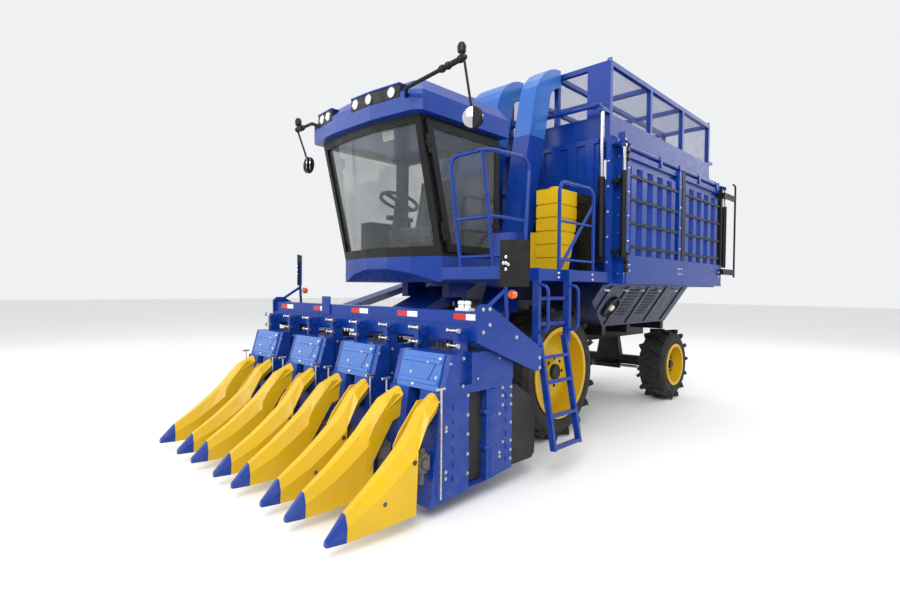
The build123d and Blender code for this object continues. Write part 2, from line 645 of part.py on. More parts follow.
post_x = 60
shaft = (basket_half + 35, basket_top - 65)
shaft_radius = 22
bearing = 30
bearing_x = (basket_front_x - 18, back(4865), basket_rear_x + 90)
door_gap = 6
door_front_x = basket_front_x - 180
jamb_x = (door_front_x + door_gap, door_front_x + door_gap + 44)
with BuildPart() as basket_right_wall:
    corrugated((basket_rear_x + post_x, basket_front_x - post_x), (-basket_half + 20, -post_inner),
               (basket_floor_z[1], basket_top), "X", 16, 90, 20, -1)
finish(basket_right_wall, "basket_right_wall")

with BuildPart() as basket_posts:
    for x in ((basket_rear_x, basket_rear_x + post_x), (basket_front_x - post_x, basket_front_x)):
        for side in (-1, 1):
            block(x, (side * post_inner, side * basket_half), (basket_floor_z[1], basket_top))
    block((basket_rear_x, basket_front_x), (post_inner, basket_half), (basket_top - 90, basket_top))
    block(jamb_x, (post_inner, basket_half + 80), (basket_floor_z[1], basket_top))
    block(jamb_x, (basket_half, basket_half + 80), (basket_floor_z[0] + 15, basket_floor_z[1] + 1))
    block(jamb_x, (basket_half + 6, basket_half + 80), (basket_top - 1, basket_top + 50))
    bar((jamb_x[0] - 1, *shaft), (jamb_x[1] + 1, *shaft), shaft_radius + running_fit, mode=Mode.SUBTRACT)
    for x in bearing_x:
        block((x - 20, x + 20), (basket_half - 1, shaft[0] + bearing), (shaft[1] - bearing, shaft[1] + bearing))
        bar((x - 21, *shaft), (x + 21, *shaft), shaft_radius + running_fit, mode=Mode.SUBTRACT)
finish(basket_posts, "basket_posts")

lift_corners = [(basket_front_x + 10, 1245), (basket_front_x + 10, -1245),
                (basket_rear_x - 10, 1245), (basket_rear_x - 10, -1245)]
cage_bottom = basket_top - 200
skirt_top = basket_top + 250
cage_rod_radius = 20
cage_bracket_z = (skirt_top, skirt_top + 40)
cage_barrel_z = (basket_floor_z[1] + 220, basket_top - 400)
with BuildPart() as cage_lift_barrels:
    for x, y in lift_corners:
        bar((x, y, cage_barrel_z[0]), (x, y, cage_barrel_z[1]), 34)
        block((x - 34, x + 34), (math.copysign(wall_half, y), math.copysign(post_inner, y)),
              (cage_barrel_z[0] - 50, cage_barrel_z[0] + 10))
        bar((x, y, cage_barrel_z[0] + 30), (x, y, cage_barrel_z[1] + 1), cage_rod_radius + running_fit,
            mode=Mode.SUBTRACT)
finish(cage_lift_barrels, "cage_lift_barrels")

# ---------------------------------------------------------------------------------------------
# Cage: a skirt inside the basket, posts, a roof grid and mesh panels; it slides down for the road
# ---------------------------------------------------------------------------------------------

cage_x = (back(6250), back(3350))
cage_half = 1270
cage_top = skirt_top + 540
cage_bar = 50
bay_posts = [cage_x[0] + index * (cage_x[1] - cage_bar - cage_x[0]) / 3 for index in range(4)]
roof_bars = [-cage_half, -cage_half / 2 - 25, -25, cage_half / 2 - 25, cage_half - cage_bar]
lift_bar_x = basket_front_x + 40
hook_y = cage_half - cage_bar / 2

with BuildPart() as cage_frame:
    block(cage_x, (-cage_half, cage_half), (cage_bottom, skirt_top))
    block((cage_x[0] + 30, cage_x[1] - 30), (-cage_half + 30, cage_half - 30), (cage_bottom - 1, skirt_top + 1),
          mode=Mode.SUBTRACT)
    for x, y in lift_corners:
        inner = cage_x[1] - 30 if x > 0 else cage_x[0] + 30
        block((inner, x + math.copysign(40, x)), (y - 25, y + 25), cage_bracket_z)
    bar((lift_bar_x, -1245, cage_bracket_z[1] + 19), (lift_bar_x, 1245, cage_bracket_z[1] + 19), 20)
    for y in (-1180, -800, -300, 300, 800, 1180):
        bar((lift_bar_x, y - 22, cage_bracket_z[1] + 19), (lift_bar_x, y + 22, cage_bracket_z[1] + 19), 30)
    for y in roof_bars:
        block(cage_x, (y, y + cage_bar), (cage_top - cage_bar, cage_top))
    for x in bay_posts:
        block((x, x + cage_bar), (-cage_half, cage_half), (cage_top - cage_bar, cage_top))
    for x in (cage_x[0] + 25, cage_x[1] - 25):
        for y in (-hook_y, hook_y):
            for leg in (-20, 20):
                block((x - 5, x + 5), (y + leg - 5, y + leg + 5), (cage_top - 1, cage_top + 28))
            block((x - 5, x + 5), (y - 25, y + 25), (cage_top + 20, cage_top + 30))
finish(cage_frame, "cage_frame")

with BuildPart() as cage_posts:
    for x in bay_posts:
        for y in (-cage_half, cage_half - cage_bar):
            block((x, x + cage_bar), (y, y + cage_bar), (skirt_top, cage_top - cage_bar))
    for x in (bay_posts[0], bay_posts[-1]):
        for y in roof_bars[1:-1]:
            block((x, x + cage_bar), (y, y + cage_bar), (skirt_top, cage_top - cage_bar))
    block((cage_x[1] - 8, cage_x[1]), (1010, cage_half - cage_bar + 1), (skirt_top, cage_top - cage_bar))
    add(cage_frame.part, mode=Mode.SUBTRACT)
finish(cage_posts, "cage_posts")

mesh = 5
with BuildPart() as cage_mesh:
    for left, right in zip(bay_posts, bay_posts[1:]):
        for y in (-cage_half + 20, cage_half - 20 - mesh):
            block((left + cage_bar, right), (y, y + mesh), (skirt_top, cage_top - cage_bar))
        for low, high in zip(roof_bars, roof_bars[1:]):
            block((left + cage_bar, right), (low + cage_bar, high), (cage_top - 30, cage_top - 30 + mesh))
    for low, high in zip(roof_bars, roof_bars[1:]):
        for x in (cage_x[0] + 20, cage_x[1] - 20 - mesh):
            block((x, x + mesh), (low + cage_bar, high), (skirt_top, cage_top - cage_bar))
finish(cage_mesh, "cage_mesh")

with BuildPart() as cage_lift_rods:
    for x, y in lift_corners:
        bar((x, y, cage_barrel_z[1] - 110), (x, y, cage_bracket_z[0]), cage_rod_radius)
finish(cage_lift_rods, "cage_lift_rods")

# ---------------------------------------------------------------------------------------------
# Unloading door: the basket's left wall, hung from a cross shaft that two cranks turn
# ---------------------------------------------------------------------------------------------

door_x = (basket_rear_x, door_front_x)
door_y = (basket_half + door_gap, basket_half + door_gap + 20)
door_z = (basket_floor_z[0] + 15, shaft[1] - 50)
door_band = 290
door_beam = 150
rib_face = door_y[1] + 42
mid_post_x = (back(4950), back(4865), back(4780))
bar_drops = (250, 490, 730, 970)
door_bays = ((door_x[0] + 60, mid_post_x[0]), (mid_post_x[2], door_x[1] - 60))
crank = (70, -35)
door_rod_y = shaft[0] + crank[0] - 6
door_barrel_x = (basket_front_x - 80, basket_rear_x - 60)
bent_rod_x = back(6766)

with BuildPart() as unloading_door:
    block(door_x, door_y, door_z)
    for bay in door_bays:
        for index in range(5):
            x = bay[0] + (index + 0.5) * (bay[1] - bay[0]) / 5
            deck_plate([(x - 95, door_y[1] - 1), (x + 95, door_y[1] - 1), (x + 55, rib_face), (x - 55, rib_face)],
                       (door_z[0] + door_band - 1, door_z[1] - door_beam + 1))
    block(door_x, (door_y[0], rib_face + 18), (door_z[0], door_z[0] + door_band))
    slab([(door_x[0], door_z[0] + 20), (door_x[0], door_z[0]), (door_x[1], door_z[0]), (door_x[1], door_z[0] + 20)],
         (rib_face + 17, rib_face + 24))
    block(door_x, (door_y[0], rib_face - 12), (door_z[1] - 60, door_z[1]))
    block(door_x, (door_y[0], rib_face - 12), (door_z[1] - door_beam, door_z[1] - door_beam + 30))
    block((door_x[1] - 60, door_x[1]), (door_y[0], rib_face + 18), door_z)
    block((mid_post_x[1] + 6, mid_post_x[2]), (door_y[0], rib_face + 18), door_z)
    for x in (door_x[0] + 160, back(5500), back(4300), door_x[1] - 60):
        bulkhead([(door_y[0], door_z[1] - 40), (door_y[0] + 70, door_z[1] - 40), (shaft[0] + 30, shaft[1]),
                  (shaft[0] - 24, shaft[1] - 4)], (x - 20, x + 20))
        bar((x - 20, *shaft), (x + 20, *shaft), 32)
    bar((basket_rear_x - 140, *shaft), (basket_front_x + 10, *shaft), shaft_radius)
    for x in (door_barrel_x[0] + 30, door_barrel_x[1] + 30):
        bulkhead([(shaft[0] - 20, shaft[1] + 25), (shaft[0] - 20, shaft[1] - 25),
                  (shaft[0] + crank[0], shaft[1] + crank[1] - 18),
                  (shaft[0] + crank[0] + 20, shaft[1] + crank[1] + 16)], (x - 9, x + 9))
finish(unloading_door, "unloading_door")

tube_y = rib_face + 58
plate_z = ((door_z[0] + 160, door_z[0] + 240), (door_z[1] - 130, door_z[1] - 50))
with BuildPart() as door_frame:
    block((mid_post_x[0], mid_post_x[1]), (door_y[1], rib_face + 24), (door_z[0] + door_band, door_z[1]))
    block((door_x[0], door_x[0] + 60), (door_y[1], rib_face + 24), (door_z[0] + door_band, door_z[1]))
    for drop in bar_drops:
        z = shaft[1] - 45 - drop
        block((door_x[0] + 59, mid_post_x[0] + 1), (rib_face, rib_face + 12), (z - 14, z + 14))
        block((mid_post_x[2], door_x[1] - 60), (rib_face, rib_face + 12), (z - 14, z + 14))
    add(unloading_door.part, mode=Mode.SUBTRACT)
    bent_tube([(bent_rod_x, tube_y, door_z[0] + 130), (bent_rod_x, tube_y, shaft[1] + 60),
               (bent_rod_x + 110, tube_y, shaft[1] + 60)], 13, 45)
    for z, seat in zip(plate_z, (rib_face + 18, rib_face + 24)):
        block((bent_rod_x, door_x[0] + 50), (tube_y - 6, tube_y + 6), z)
        block((door_x[0], door_x[0] + 50), (seat, tube_y + 6), z)
finish(door_frame, "door_frame")

with BuildPart() as door_barrels:
    for x in door_barrel_x:
        bar((x, door_rod_y, cage_barrel_z[0]), (x, door_rod_y, basket_top - 350), 28)
        bar((x, door_rod_y, cage_barrel_z[0] + 40), (x, door_rod_y, basket_top - 349), 15 + running_fit,
            mode=Mode.SUBTRACT)
        for z in (cage_barrel_z[0] + 50, basket_top - 450):
            if x > 0:
                block((x - 20, x + 60), (basket_half, door_rod_y - 24), (z - 20, z + 20))
            else:
                block((x - 20, x + 20), (basket_half - 40, door_rod_y - 24), (z - 20, z + 20))
                block((x - 20, basket_rear_x), (basket_half - 40, basket_half - 6), (z - 20, z + 20))
finish(door_barrels, "door_barrels")

with BuildPart() as door_rods:
    for x in door_barrel_x:
        bar((x, door_rod_y, basket_top - 750), (x, door_rod_y, shaft[1] + crank[1] - 10), 15)
        bar((x - 12, door_rod_y, shaft[1] + crank[1]), (x + 14, door_rod_y, shaft[1] + crank[1]), 24)
finish(door_rods, "door_rods")

# ---------------------------------------------------------------------------------------------
# Air ducts: one from each outer unit and a double one in the middle, up to the top of the cage
# ---------------------------------------------------------------------------------------------

duct_wall = 8
duct_out_x = back(3330)
duct_mouth_z = 1330
duct_elbow_z = 1600
duct_knee_z = 2260
duct_joint_z = 3080
duct_top = cage_top + 33
duct_depth = 190
duct_lean = math.radians(12)
bend_front = 476
bend_back = 205
bend_cuts = 6
duct_front = [(back(2644), duct_knee_z), (back(2663), 2540), (back(2776), duct_joint_z)]
duct_rear = [(back(2904), duct_knee_z), (back(2923), 2540), (back(3036), duct_joint_z)]


def duct_bend(radius, top, shrink=0):
    """The quarter turn at the head of a duct, from the riser's lean to level, ending at its spout."""
    arc = []
    for cut in range(bend_cuts + 1):
        turn = duct_lean + (math.pi / 2 - duct_lean) * cut / bend_cuts
        arc.append((duct_out_x + (radius - shrink) * math.cos(turn), top - radius + (radius - shrink) * math.sin(turn)))
    return arc


def tapered(low_outline, low_z, high_outline, high_z, mode=Mode.ADD):
    """A body between two level outlines of X and Y, at two heights."""
    rings = [[(x, y, z) for x, y in outline] for outline, z in ((low_outline, low_z), (high_outline, high_z))]
    add(skinned(rings), mode=mode)


def oblong(x, y, shrink=0):
    """The corners of a rectangle between the pairs x and y, drawn in by shrink."""
    return [(x[0] + shrink, y[0] + shrink), (x[1] - shrink, y[0] + shrink),
            (x[1] - shrink, y[1] - shrink), (x[0] + shrink, y[1] - shrink)]


# The mouth's and the riser's limits in Y, and those of the brackets; the left one is mirrored to the right
duct_rows = [((500, 700), (930, 1130), (510, 545)), ((-210, 210), (-240, 240), (-115, -80)),
             ((-700, -500), (-1130, -930), (-545, -510))]
mouth_x = (back(2030), back(1770))
elbow_x = (back(2610), back(2380))
riser_x = (duct_rear[0][0], duct_front[0][0])
joint_x = (duct_rear[-1][0], duct_front[-1][0])



def riser_side(shrink=0, spare=0):
    """The riser's side view from knee to joint, drawn in by shrink, its two ends longer by spare."""
    front = [(x - shrink, z) for x, z in duct_front]
    rear = [(x + shrink, z) for x, z in reversed(duct_rear)]
    return [(front[0][0], front[0][1] - spare), front[1], (front[2][0], front[2][1] + spare),
            (rear[0][0], rear[0][1] + spare), rear[1], (rear[2][0], rear[2][1] - spare)]


with BuildPart() as duct_risers:
    for top_y, bottom_y, bracket_y in duct_rows:
        tapered(oblong(mouth_x, bottom_y), duct_mouth_z, oblong(elbow_x, top_y), duct_elbow_z)
        tapered(oblong(elbow_x, top_y), duct_elbow_z, oblong(riser_x, top_y), duct_knee_z)
        slab(riser_side(), top_y)
        for z, reach in ((2320, riser_x[0] + 10), (2620, duct_rear[1][0] - 5)):
            block((basket_front_x, reach), bracket_y, (z - 20, z + 20))
        tapered(oblong(mouth_x, bottom_y, duct_wall), duct_mouth_z - 1,
                oblong(elbow_x, top_y, duct_wall), duct_elbow_z, mode=Mode.SUBTRACT)
        tapered(oblong(elbow_x, top_y, duct_wall), duct_elbow_z - 1,
                oblong(riser_x, top_y, duct_wall), duct_knee_z, mode=Mode.SUBTRACT)
        slab(riser_side(duct_wall, 1), (top_y[0] + duct_wall, top_y[1] - duct_wall), mode=Mode.SUBTRACT)
finish(duct_risers, "duct_risers")

with BuildPart() as duct_spouts:
    for top_y, bottom_y, bracket_y in duct_rows:
        slab([(joint_x[1], duct_joint_z)] + duct_bend(bend_front, duct_top)
             + list(reversed(duct_bend(bend_back, duct_top - duct_depth))) + [(joint_x[0], duct_joint_z)], top_y)
        slab([(joint_x[1] - duct_wall, duct_joint_z - 1)] + duct_bend(bend_front, duct_top, duct_wall)
             + [(duct_out_x - 1, duct_top - duct_wall), (duct_out_x - 1, duct_top - duct_depth + duct_wall)]
             + list(reversed(duct_bend(bend_back, duct_top - duct_depth, -duct_wall)))
             + [(joint_x[0] + duct_wall, duct_joint_z - 1)],
             (top_y[0] + duct_wall, top_y[1] - duct_wall), mode=Mode.SUBTRACT)
finish(duct_spouts, "duct_spouts")

# ---------------------------------------------------------------------------------------------
# Cab: floor with its bowed fascia, leaning pillars, glass, roof, seat and controls
# ---------------------------------------------------------------------------------------------

cab_half = 700
cab_rear_x = back(2275)
floor_z = (1580, 1700, 1800)
cab_eaves = 2930
cab_corner_x = (back(1550), back(1280))
low_bow = [(back(1550), -cab_half), (back(1450), -420), (back(1400), -150),
           (back(1400), 150), (back(1450), 420), (back(1550), cab_half)]
high_bow = [(back(1280), -cab_half), (back(1235), -420), (back(1205), -150),
            (back(1205), 150), (back(1235), 420), (back(1280), cab_half)]


def cab_plan(bow, inset=0, rear_inset=None):
    """The cab's outline in plan, drawn in from its bowed front and from its sides."""
    rear = inset if rear_inset is None else rear_inset
    front = [(x - inset, max(-cab_half + inset, min(cab_half - inset, y))) for x, y in bow]
    return [(cab_rear_x + rear, cab_half - inset), (cab_rear_x + rear, -cab_half + inset)] + front


with BuildPart() as cab_floor:
    deck_plate(cab_plan(low_bow), (floor_z[0], floor_z[2]))
    slab([(back(1540), floor_z[0] - 1), (back(1300), floor_z[0] - 1), (back(1300), floor_z[1]), (back(1395), floor_z[1])],
         (-cab_half - 1, cab_half + 1), mode=Mode.SUBTRACT)
    for side in (-1, 1):
        block((back(2260), back(2180)), (side * rail_inner, side * rail_outer), (rail_top, floor_z[0]))
        block((back(2230), back(2005)), (side * rail_inner, side * rail_outer), (floor_z[0] - 140, floor_z[0]))
finish(cab_floor, "cab_floor")

# The left-hand door turns on the leaning front pillar
hinge_low = (back(1580), 725, floor_z[2] + 30)
hinge_high = (back(1310), 725, cab_eaves - 30)
hinge_run = (Vector(*hinge_high) - Vector(*hinge_low)).normalized()


def on_hinge(height):
    """The point of the cab door's hinge line at this height."""
    reach = (height - hinge_low[2]) / hinge_run.Z
    return (hinge_low[0] + hinge_run.X * reach, hinge_low[1], height)




def front_edge(height):
    """The X of the cab's leaning front corner at this height."""
    share = (height - floor_z[2]) / (cab_eaves - floor_z[2])
    return cab_corner_x[0] + share * (cab_corner_x[1] - cab_corner_x[0])


pillar = 55
door_jamb = 58
window_z = (floor_z[2] + 80, cab_eaves - 65)
opening_z = (floor_z[2] + 30, cab_eaves - 40)
door_opening = [(back(2215), opening_z[0]), (front_edge(opening_z[0]) - door_jamb, opening_z[0]),
                (front_edge(opening_z[1]) - door_jamb, opening_z[1]), (back(2215), opening_z[1])]
hinge_heights = (floor_z[2] + 200, cab_eaves - 230)
rear_window_z = (floor_z[2] + 300, window_z[1])
with BuildPart() as cab_frame:
    tapered(cab_plan(low_bow), floor_z[2], cab_plan(high_bow), cab_eaves)
    tapered(cab_plan(low_bow, pillar), floor_z[2] - 1, cab_plan(high_bow, pillar), cab_eaves + 1, mode=Mode.SUBTRACT)
    block((back(2000), back(1000)), (-cab_half + pillar, cab_half - pillar), window_z, mode=Mode.SUBTRACT)
    block((cab_rear_x - 1, back(2100)), (-cab_half + 140, cab_half - 140), rear_window_z, mode=Mode.SUBTRACT)
    slab(door_opening, (cab_half - pillar - 1, cab_half + 1), mode=Mode.SUBTRACT)
    slab(door_opening, (-cab_half - 1, -cab_half + pillar + 1), mode=Mode.SUBTRACT)
    for z in hinge_heights:
        bar(on_hinge(z - 24), on_hinge(z + 24), 13)
        slab([(on_hinge(z - 24)[0] - 12, z - 24), (on_hinge(z - 24)[0] + 12, z - 24),
              (on_hinge(z + 24)[0] + 12, z + 24), (on_hinge(z + 24)[0] - 12, z + 24)], (cab_half - 1, 725))
        bar(on_hinge(z - 38), on_hinge(z + 38), 8 + running_fit, mode=Mode.SUBTRACT)
finish(cab_frame, "cab_frame")

glass = 6
with BuildPart() as cab_glazing:
    tapered(cab_plan(low_bow, 20), floor_z[2], cab_plan(high_bow, 20), cab_eaves)
    tapered(cab_plan(low_bow, 20 + glass), floor_z[2] - 1, cab_plan(high_bow, 20 + glass), cab_eaves + 1,
            mode=Mode.SUBTRACT)
    block((back(2000), back(1000)), (-cab_half + pillar, cab_half - pillar), window_z, mode=Mode.INTERSECT)
    slab(door_opening, (-cab_half + 20, -cab_half + 20 + glass))
    block((cab_rear_x + 20, cab_rear_x + 20 + glass), (-cab_half + 140, cab_half - 140), rear_window_z)
finish(cab_glazing, "cab_glazing")

roof_edge = [(back(2330), -780), (back(2330), 780), (back(1240), 780), (back(1180), 700), (back(1130), 250),
             (back(1130), -250), (back(1180), -700), (back(1240), -780)]
roof_crown = [(back(2280), -690), (back(2280), 690), (back(1330), 690), (back(1290), 620), (back(1250), 230),
              (back(1250), -230), (back(1290), -620), (back(1330), -690)]
roof_fascia_z = cab_eaves + 160
roof_top = roof_fascia_z + 120
with BuildPart() as cab_roof:
    deck_plate(roof_edge, (cab_eaves, roof_fascia_z))
    tapered(roof_edge, roof_fascia_z, roof_crown, roof_top)
finish(cab_roof, "cab_roof")

lamp_z = roof_fascia_z + 22
lamp_radius = 38
with BuildPart() as roof_lamps:
    for y in (-520, -400, 50, 235, 500):
        bar((back(1185), y, lamp_z), (back(1135) - 0.05 * abs(y), y, lamp_z), lamp_radius)
    add(cab_roof.part, mode=Mode.SUBTRACT)
finish(roof_lamps, "roof_lamps")

with BuildPart() as cab_seat:
    block((back(2080), back(1800)), (-180, 180), (floor_z[2], 1960))
    block((back(2130), back(1690)), (-240, 240), (2000, 2100))
    block((back(2100), back(1780)), (-140, 140), (1960, 2000))
    slab([(back(2230), 2640), (back(2130), 2640), (back(2030), 2100), (back(2130), 2080)], (-230, 230))
    for side in (-1, 1):
        block((back(2070), back(1760)), (side * 250, side * 310), (2200, 2250))
        block((back(2060), back(2000)), (side * 239, side * 310), (2040, 2201))
finish(cab_seat, "cab_seat")

with BuildPart() as cab_controls:
    block((back(1640), back(1540)), (-90, 90), (floor_z[2], 1840))
    bar((back(1590), 0, 1830), (back(1660), 0, 2330), 35)
    with BuildSketch(Plane(origin=(back(1660), 0, 2330), z_dir=(-0.35, 0, 0.94))) as wheel:
        Circle(190)
        Circle(166, mode=Mode.SUBTRACT)
        Rectangle(340, 34)
    extrude(wheel.sketch, amount=24)
    block((back(2000), back(1640)), (-560, -400), (floor_z[2], 2180))
finish(cab_controls, "cab_controls")

def door_leaf(inset, low, high):
    """The cab door's outline, drawn in by inset, between two heights."""
    return [(back(2262) + inset, low), (on_hinge(low)[0] - 16 - inset, low),
            (on_hinge(high)[0] - 16 - inset, high), (back(2262) + inset, high)]


cab_door_y = (cab_half + 8, cab_half + 30)
leaf_z = (floor_z[2] + 35, cab_eaves - 35)
pane_z = (leaf_z[0] + 65, leaf_z[1] - 65)
with BuildPart() as cab_door:
    slab(door_leaf(0, *leaf_z), cab_door_y)
    slab(door_leaf(60, *pane_z), cab_door_y, mode=Mode.SUBTRACT)
    for z in hinge_heights:
        for low in (z - 75, z + 30):
            bar(on_hinge(low), on_hinge(low + 45), 13)
            slab([(on_hinge(low)[0] - 40, low), (on_hinge(low)[0], low), (on_hinge(low + 45)[0], low + 45),
                  (on_hinge(low + 45)[0] - 40, low + 45)], (cab_door_y[1] - 12, cab_door_y[1]))
        bar(on_hinge(z - 40), on_hinge(z + 40), 8)
    block((back(2240), back(2140)), (cab_door_y[1], cab_door_y[1] + 26), (2080, 2110))
    block((back(2250), back(2200)), cab_door_y, (2040, 2150))
finish(cab_door, "cab_door")

with BuildPart() as cab_door_glass:
    slab(door_leaf(60, *pane_z), (cab_door_y[0] + 8, cab_door_y[0] + 8 + glass))
    block((back(2250), back(2200)), cab_door_y, (2040, 2150), mode=Mode.SUBTRACT)
finish(cab_door_glass, "cab_door_glass")


# Each arm leaves the roof's front edge, turns down at its end and carries a round mirror
mirror_arms = [
    ([(back(1190), 640, roof_fascia_z - 50), (back(1110), 730, roof_fascia_z - 20),
      (back(1160), 1290, roof_fascia_z + 66), (back(1170), 1345, 2850)], (back(1170), 1373, 2716)),
    ([(back(1190), -560, roof_fascia_z - 50), (back(1125), -650, roof_fascia_z),
      (back(1160), -985, roof_fascia_z + 14), (back(1170), -870, 2880)], (back(1170), -785, 2722)),
]
round_mirror = 78
with BuildPart() as cab_mirrors:
    for points, glass_at in mirror_arms:
        bent_tube(points[:3], 16, 60)
        bar(points[2], points[3], 9)
        bar(points[3], glass_at, 9)
        with Locations(Location(glass_at, (0, 90, math.copysign(35, glass_at[1])))):
            Cylinder(round_mirror, 30)
    deck_plate(roof_edge, (cab_eaves, roof_fascia_z), mode=Mode.SUBTRACT)
    add(cab_roof.part, mode=Mode.SUBTRACT)
finish(cab_mirrors, "cab_mirrors")

# ---------------------------------------------------------------------------------------------
# Platform beside the cab with its rails, ladder, tank, grille and box
# ---------------------------------------------------------------------------------------------

deck_front_x = back(1550)
deck_outer = 1335
deck_z = (1600, 1700)
with BuildPart() as deck:
    deck_plate([(deck_front_x, cab_half), (deck_front_x, deck_outer), (basket_front_x, deck_outer),
                (basket_front_x, cab_half + 20), (cab_rear_x - 10, cab_half + 20), (cab_rear_x, cab_half)], deck_z)
    deck_plate([(deck_front_x - 60, cab_half + 60), (deck_front_x - 60, deck_outer - 60),
                (basket_front_x + 60, deck_outer - 60), (basket_front_x + 60, cab_half + 80)],
               (deck_z[0] - 1, deck_z[1] - 8), mode=Mode.SUBTRACT)
    block((back(1870), back(1760)), (1080, 1250), (deck_z[1] - 1, 1980))
    block((back(1762), back(1758)), (1100, 1230), (1760, 1940))
finish(deck, "deck")

rail_lean = 140
rail_top_z = 2570
rail_rear_top = (back(1960), 1290, rail_top_z + 20)
rail_rear_foot = (back(1900), 1290, deck_z[1] - 2)
rear_rail_x = (back(2400), back(2990))
rear_rail_top = 2480
with BuildPart() as deck_rails:
    for z in (1780, 2080):
        x = deck_front_x - 20 + rail_lean * (z - deck_z[1]) / (rail_top_z - deck_z[1])
        share = (z - rail_rear_foot[2]) / (rail_rear_top[2] - rail_rear_foot[2])
        end = rail_rear_foot[0] + share * (rail_rear_top[0] - rail_rear_foot[0])
        bent_tube([(x, 900, z), (x, 1290, z), (end, 1290, z)], 14, 90)
    bent_tube([(deck_front_x - 20, 900, deck_z[1] - 2), (deck_front_x - 20 + rail_lean, 900, rail_top_z),
               (deck_front_x - 20 + rail_lean, 1290, rail_top_z), rail_rear_top, rail_rear_foot], 17, 90)
    bar((deck_front_x - 20, 1240, deck_z[1] - 2), (deck_front_x - 20 + rail_lean, 1240, rail_top_z), 14)
    bent_tube([(rear_rail_x[0], 1300, deck_z[1] - 2), (rear_rail_x[0], 1300, rear_rail_top),
               (rear_rail_x[1], 1300, rear_rail_top), (rear_rail_x[1], 1300, deck_z[1] - 2)], 17, 90)
    for z in (1790, 2130):
        bar((rear_rail_x[0], 1300, z), (rear_rail_x[1], 1300, z), 12)
    slab([(rear_rail_x[0] - 30, deck_z[1] - 2), (rear_rail_x[0] + 30, deck_z[1] - 2),
          (rear_rail_x[1] + 30, 2330), (rear_rail_x[1] - 10, 2330)], (1296, 1304))
    block((basket_front_x, deck_front_x), (cab_half + 20, deck_outer), (deck_z[0], deck_z[1]), mode=Mode.SUBTRACT)
finish(deck_rails, "deck_rails")

tank_y = (810, 1050)
tank_groove = 9
tank_side = [(back(2770), deck_z[1]), (back(2750), deck_z[1] + 20), (back(2750), 2500), (back(3110), 2500),
             (back(3110), 2190), (back(2960), deck_z[1])]
tank_core = [(back(2775), deck_z[1]), (back(2760), deck_z[1] + 20), (back(2760), 2490), (back(3100), 2490),
             (back(3100), 2193), (back(2950), deck_z[1])]
with BuildPart() as product_tank:
    slab(tank_side, tank_y)
    for z in (1830, 1960, 2090, 2220, 2350):
        block((back(3200), back(2700)), tank_y, (z - 9, z + 9), mode=Mode.SUBTRACT)
    slab(tank_core, (tank_y[0] + tank_groove, tank_y[1] - tank_groove))
    block((back(2930), back(2770)), (730, tank_y[0] + 1), (deck_z[1], 2090))
    with Locations((back(2900), 930, 2510)):
        Cylinder(60, 50)
finish(product_tank, "product_tank")

grille_y = (1056, 1194)
grille_ribs = 7
with BuildPart() as radiator_grille:
    bulkhead([(grille_y[0], deck_z[1]), (grille_y[1], deck_z[1]), (grille_y[1], 2400), (grille_y[1] - 24, 2458),
              (grille_y[1] - 80, 2480), (grille_y[0], 2480)], (basket_front_x + 10, back(3100)))
    block((back(3118), back(3099)), (grille_y[0] + 14, grille_y[1] - 14), (deck_z[1] + 20, 2390), mode=Mode.SUBTRACT)
    for index in range(grille_ribs):
        y = grille_y[0] + 14 + (index + 0.5) * (grille_y[1] - grille_y[0] - 28) / grille_ribs
        block((back(3119), back(3103)), (y - 5, y + 5), (deck_z[1] + 19, 2391))
finish(radiator_grille, "radiator_grille")

ladder_x = (back(2440), back(1980))
stile = 40
ladder_hinge = (1365, 1110)
ladder_pin_radius = 12
ladder_splay = 10
rung_depth = 38
with BuildPart() as upper_ladder:
    for x in ladder_x:
        block((x - stile / 2, x + stile / 2), (deck_outer, deck_outer + 60), (ladder_hinge[1] - 40, deck_z[1]))
    for z in (1450, 1240):
        block(ladder_x, (deck_outer, deck_outer + rung_depth), (z - 14, z + 14))
    for x in ladder_x:
        bent_tube([(x, deck_outer + 40, 1180), (x, deck_outer + 140, 1180), (x, deck_outer + 140, 1560),
                   (x, deck_outer + 40, 1560)], 14, 60)
    for x, inward in zip(ladder_x, (1, -1)):
        bar((x, *ladder_hinge), (x + inward * 66, *ladder_hinge), ladder_pin_radius)
finish(upper_ladder, "upper_ladder")

with BuildPart() as lower_ladder:
    inner_x = (ladder_x[0] + stile / 2 + 20, ladder_x[1] - stile / 2 - 20)
    for x in inner_x:
        block((x - 15, x + 15), (ladder_hinge[0] - 25, ladder_hinge[0] + 25), (210, ladder_hinge[1] + 25))
    for z in (230, 480, 755, 960):
        block(inner_x, (ladder_hinge[0] - 25, ladder_hinge[0] + 25), (z - 14, z + 14))
    for x in inner_x:
        bar((x - 16, *ladder_hinge), (x + 16, *ladder_hinge), ladder_pin_radius + running_fit, mode=Mode.SUBTRACT)
splayed = lower_ladder.part.rotate(Axis((0, *ladder_hinge), (1, 0, 0)), ladder_splay)
with BuildPart() as lower_ladder:
    add(splayed)
finish(lower_ladder, "lower_ladder")
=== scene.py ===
import json
import math

import bmesh
import bpy
from mathutils import Matrix, Vector


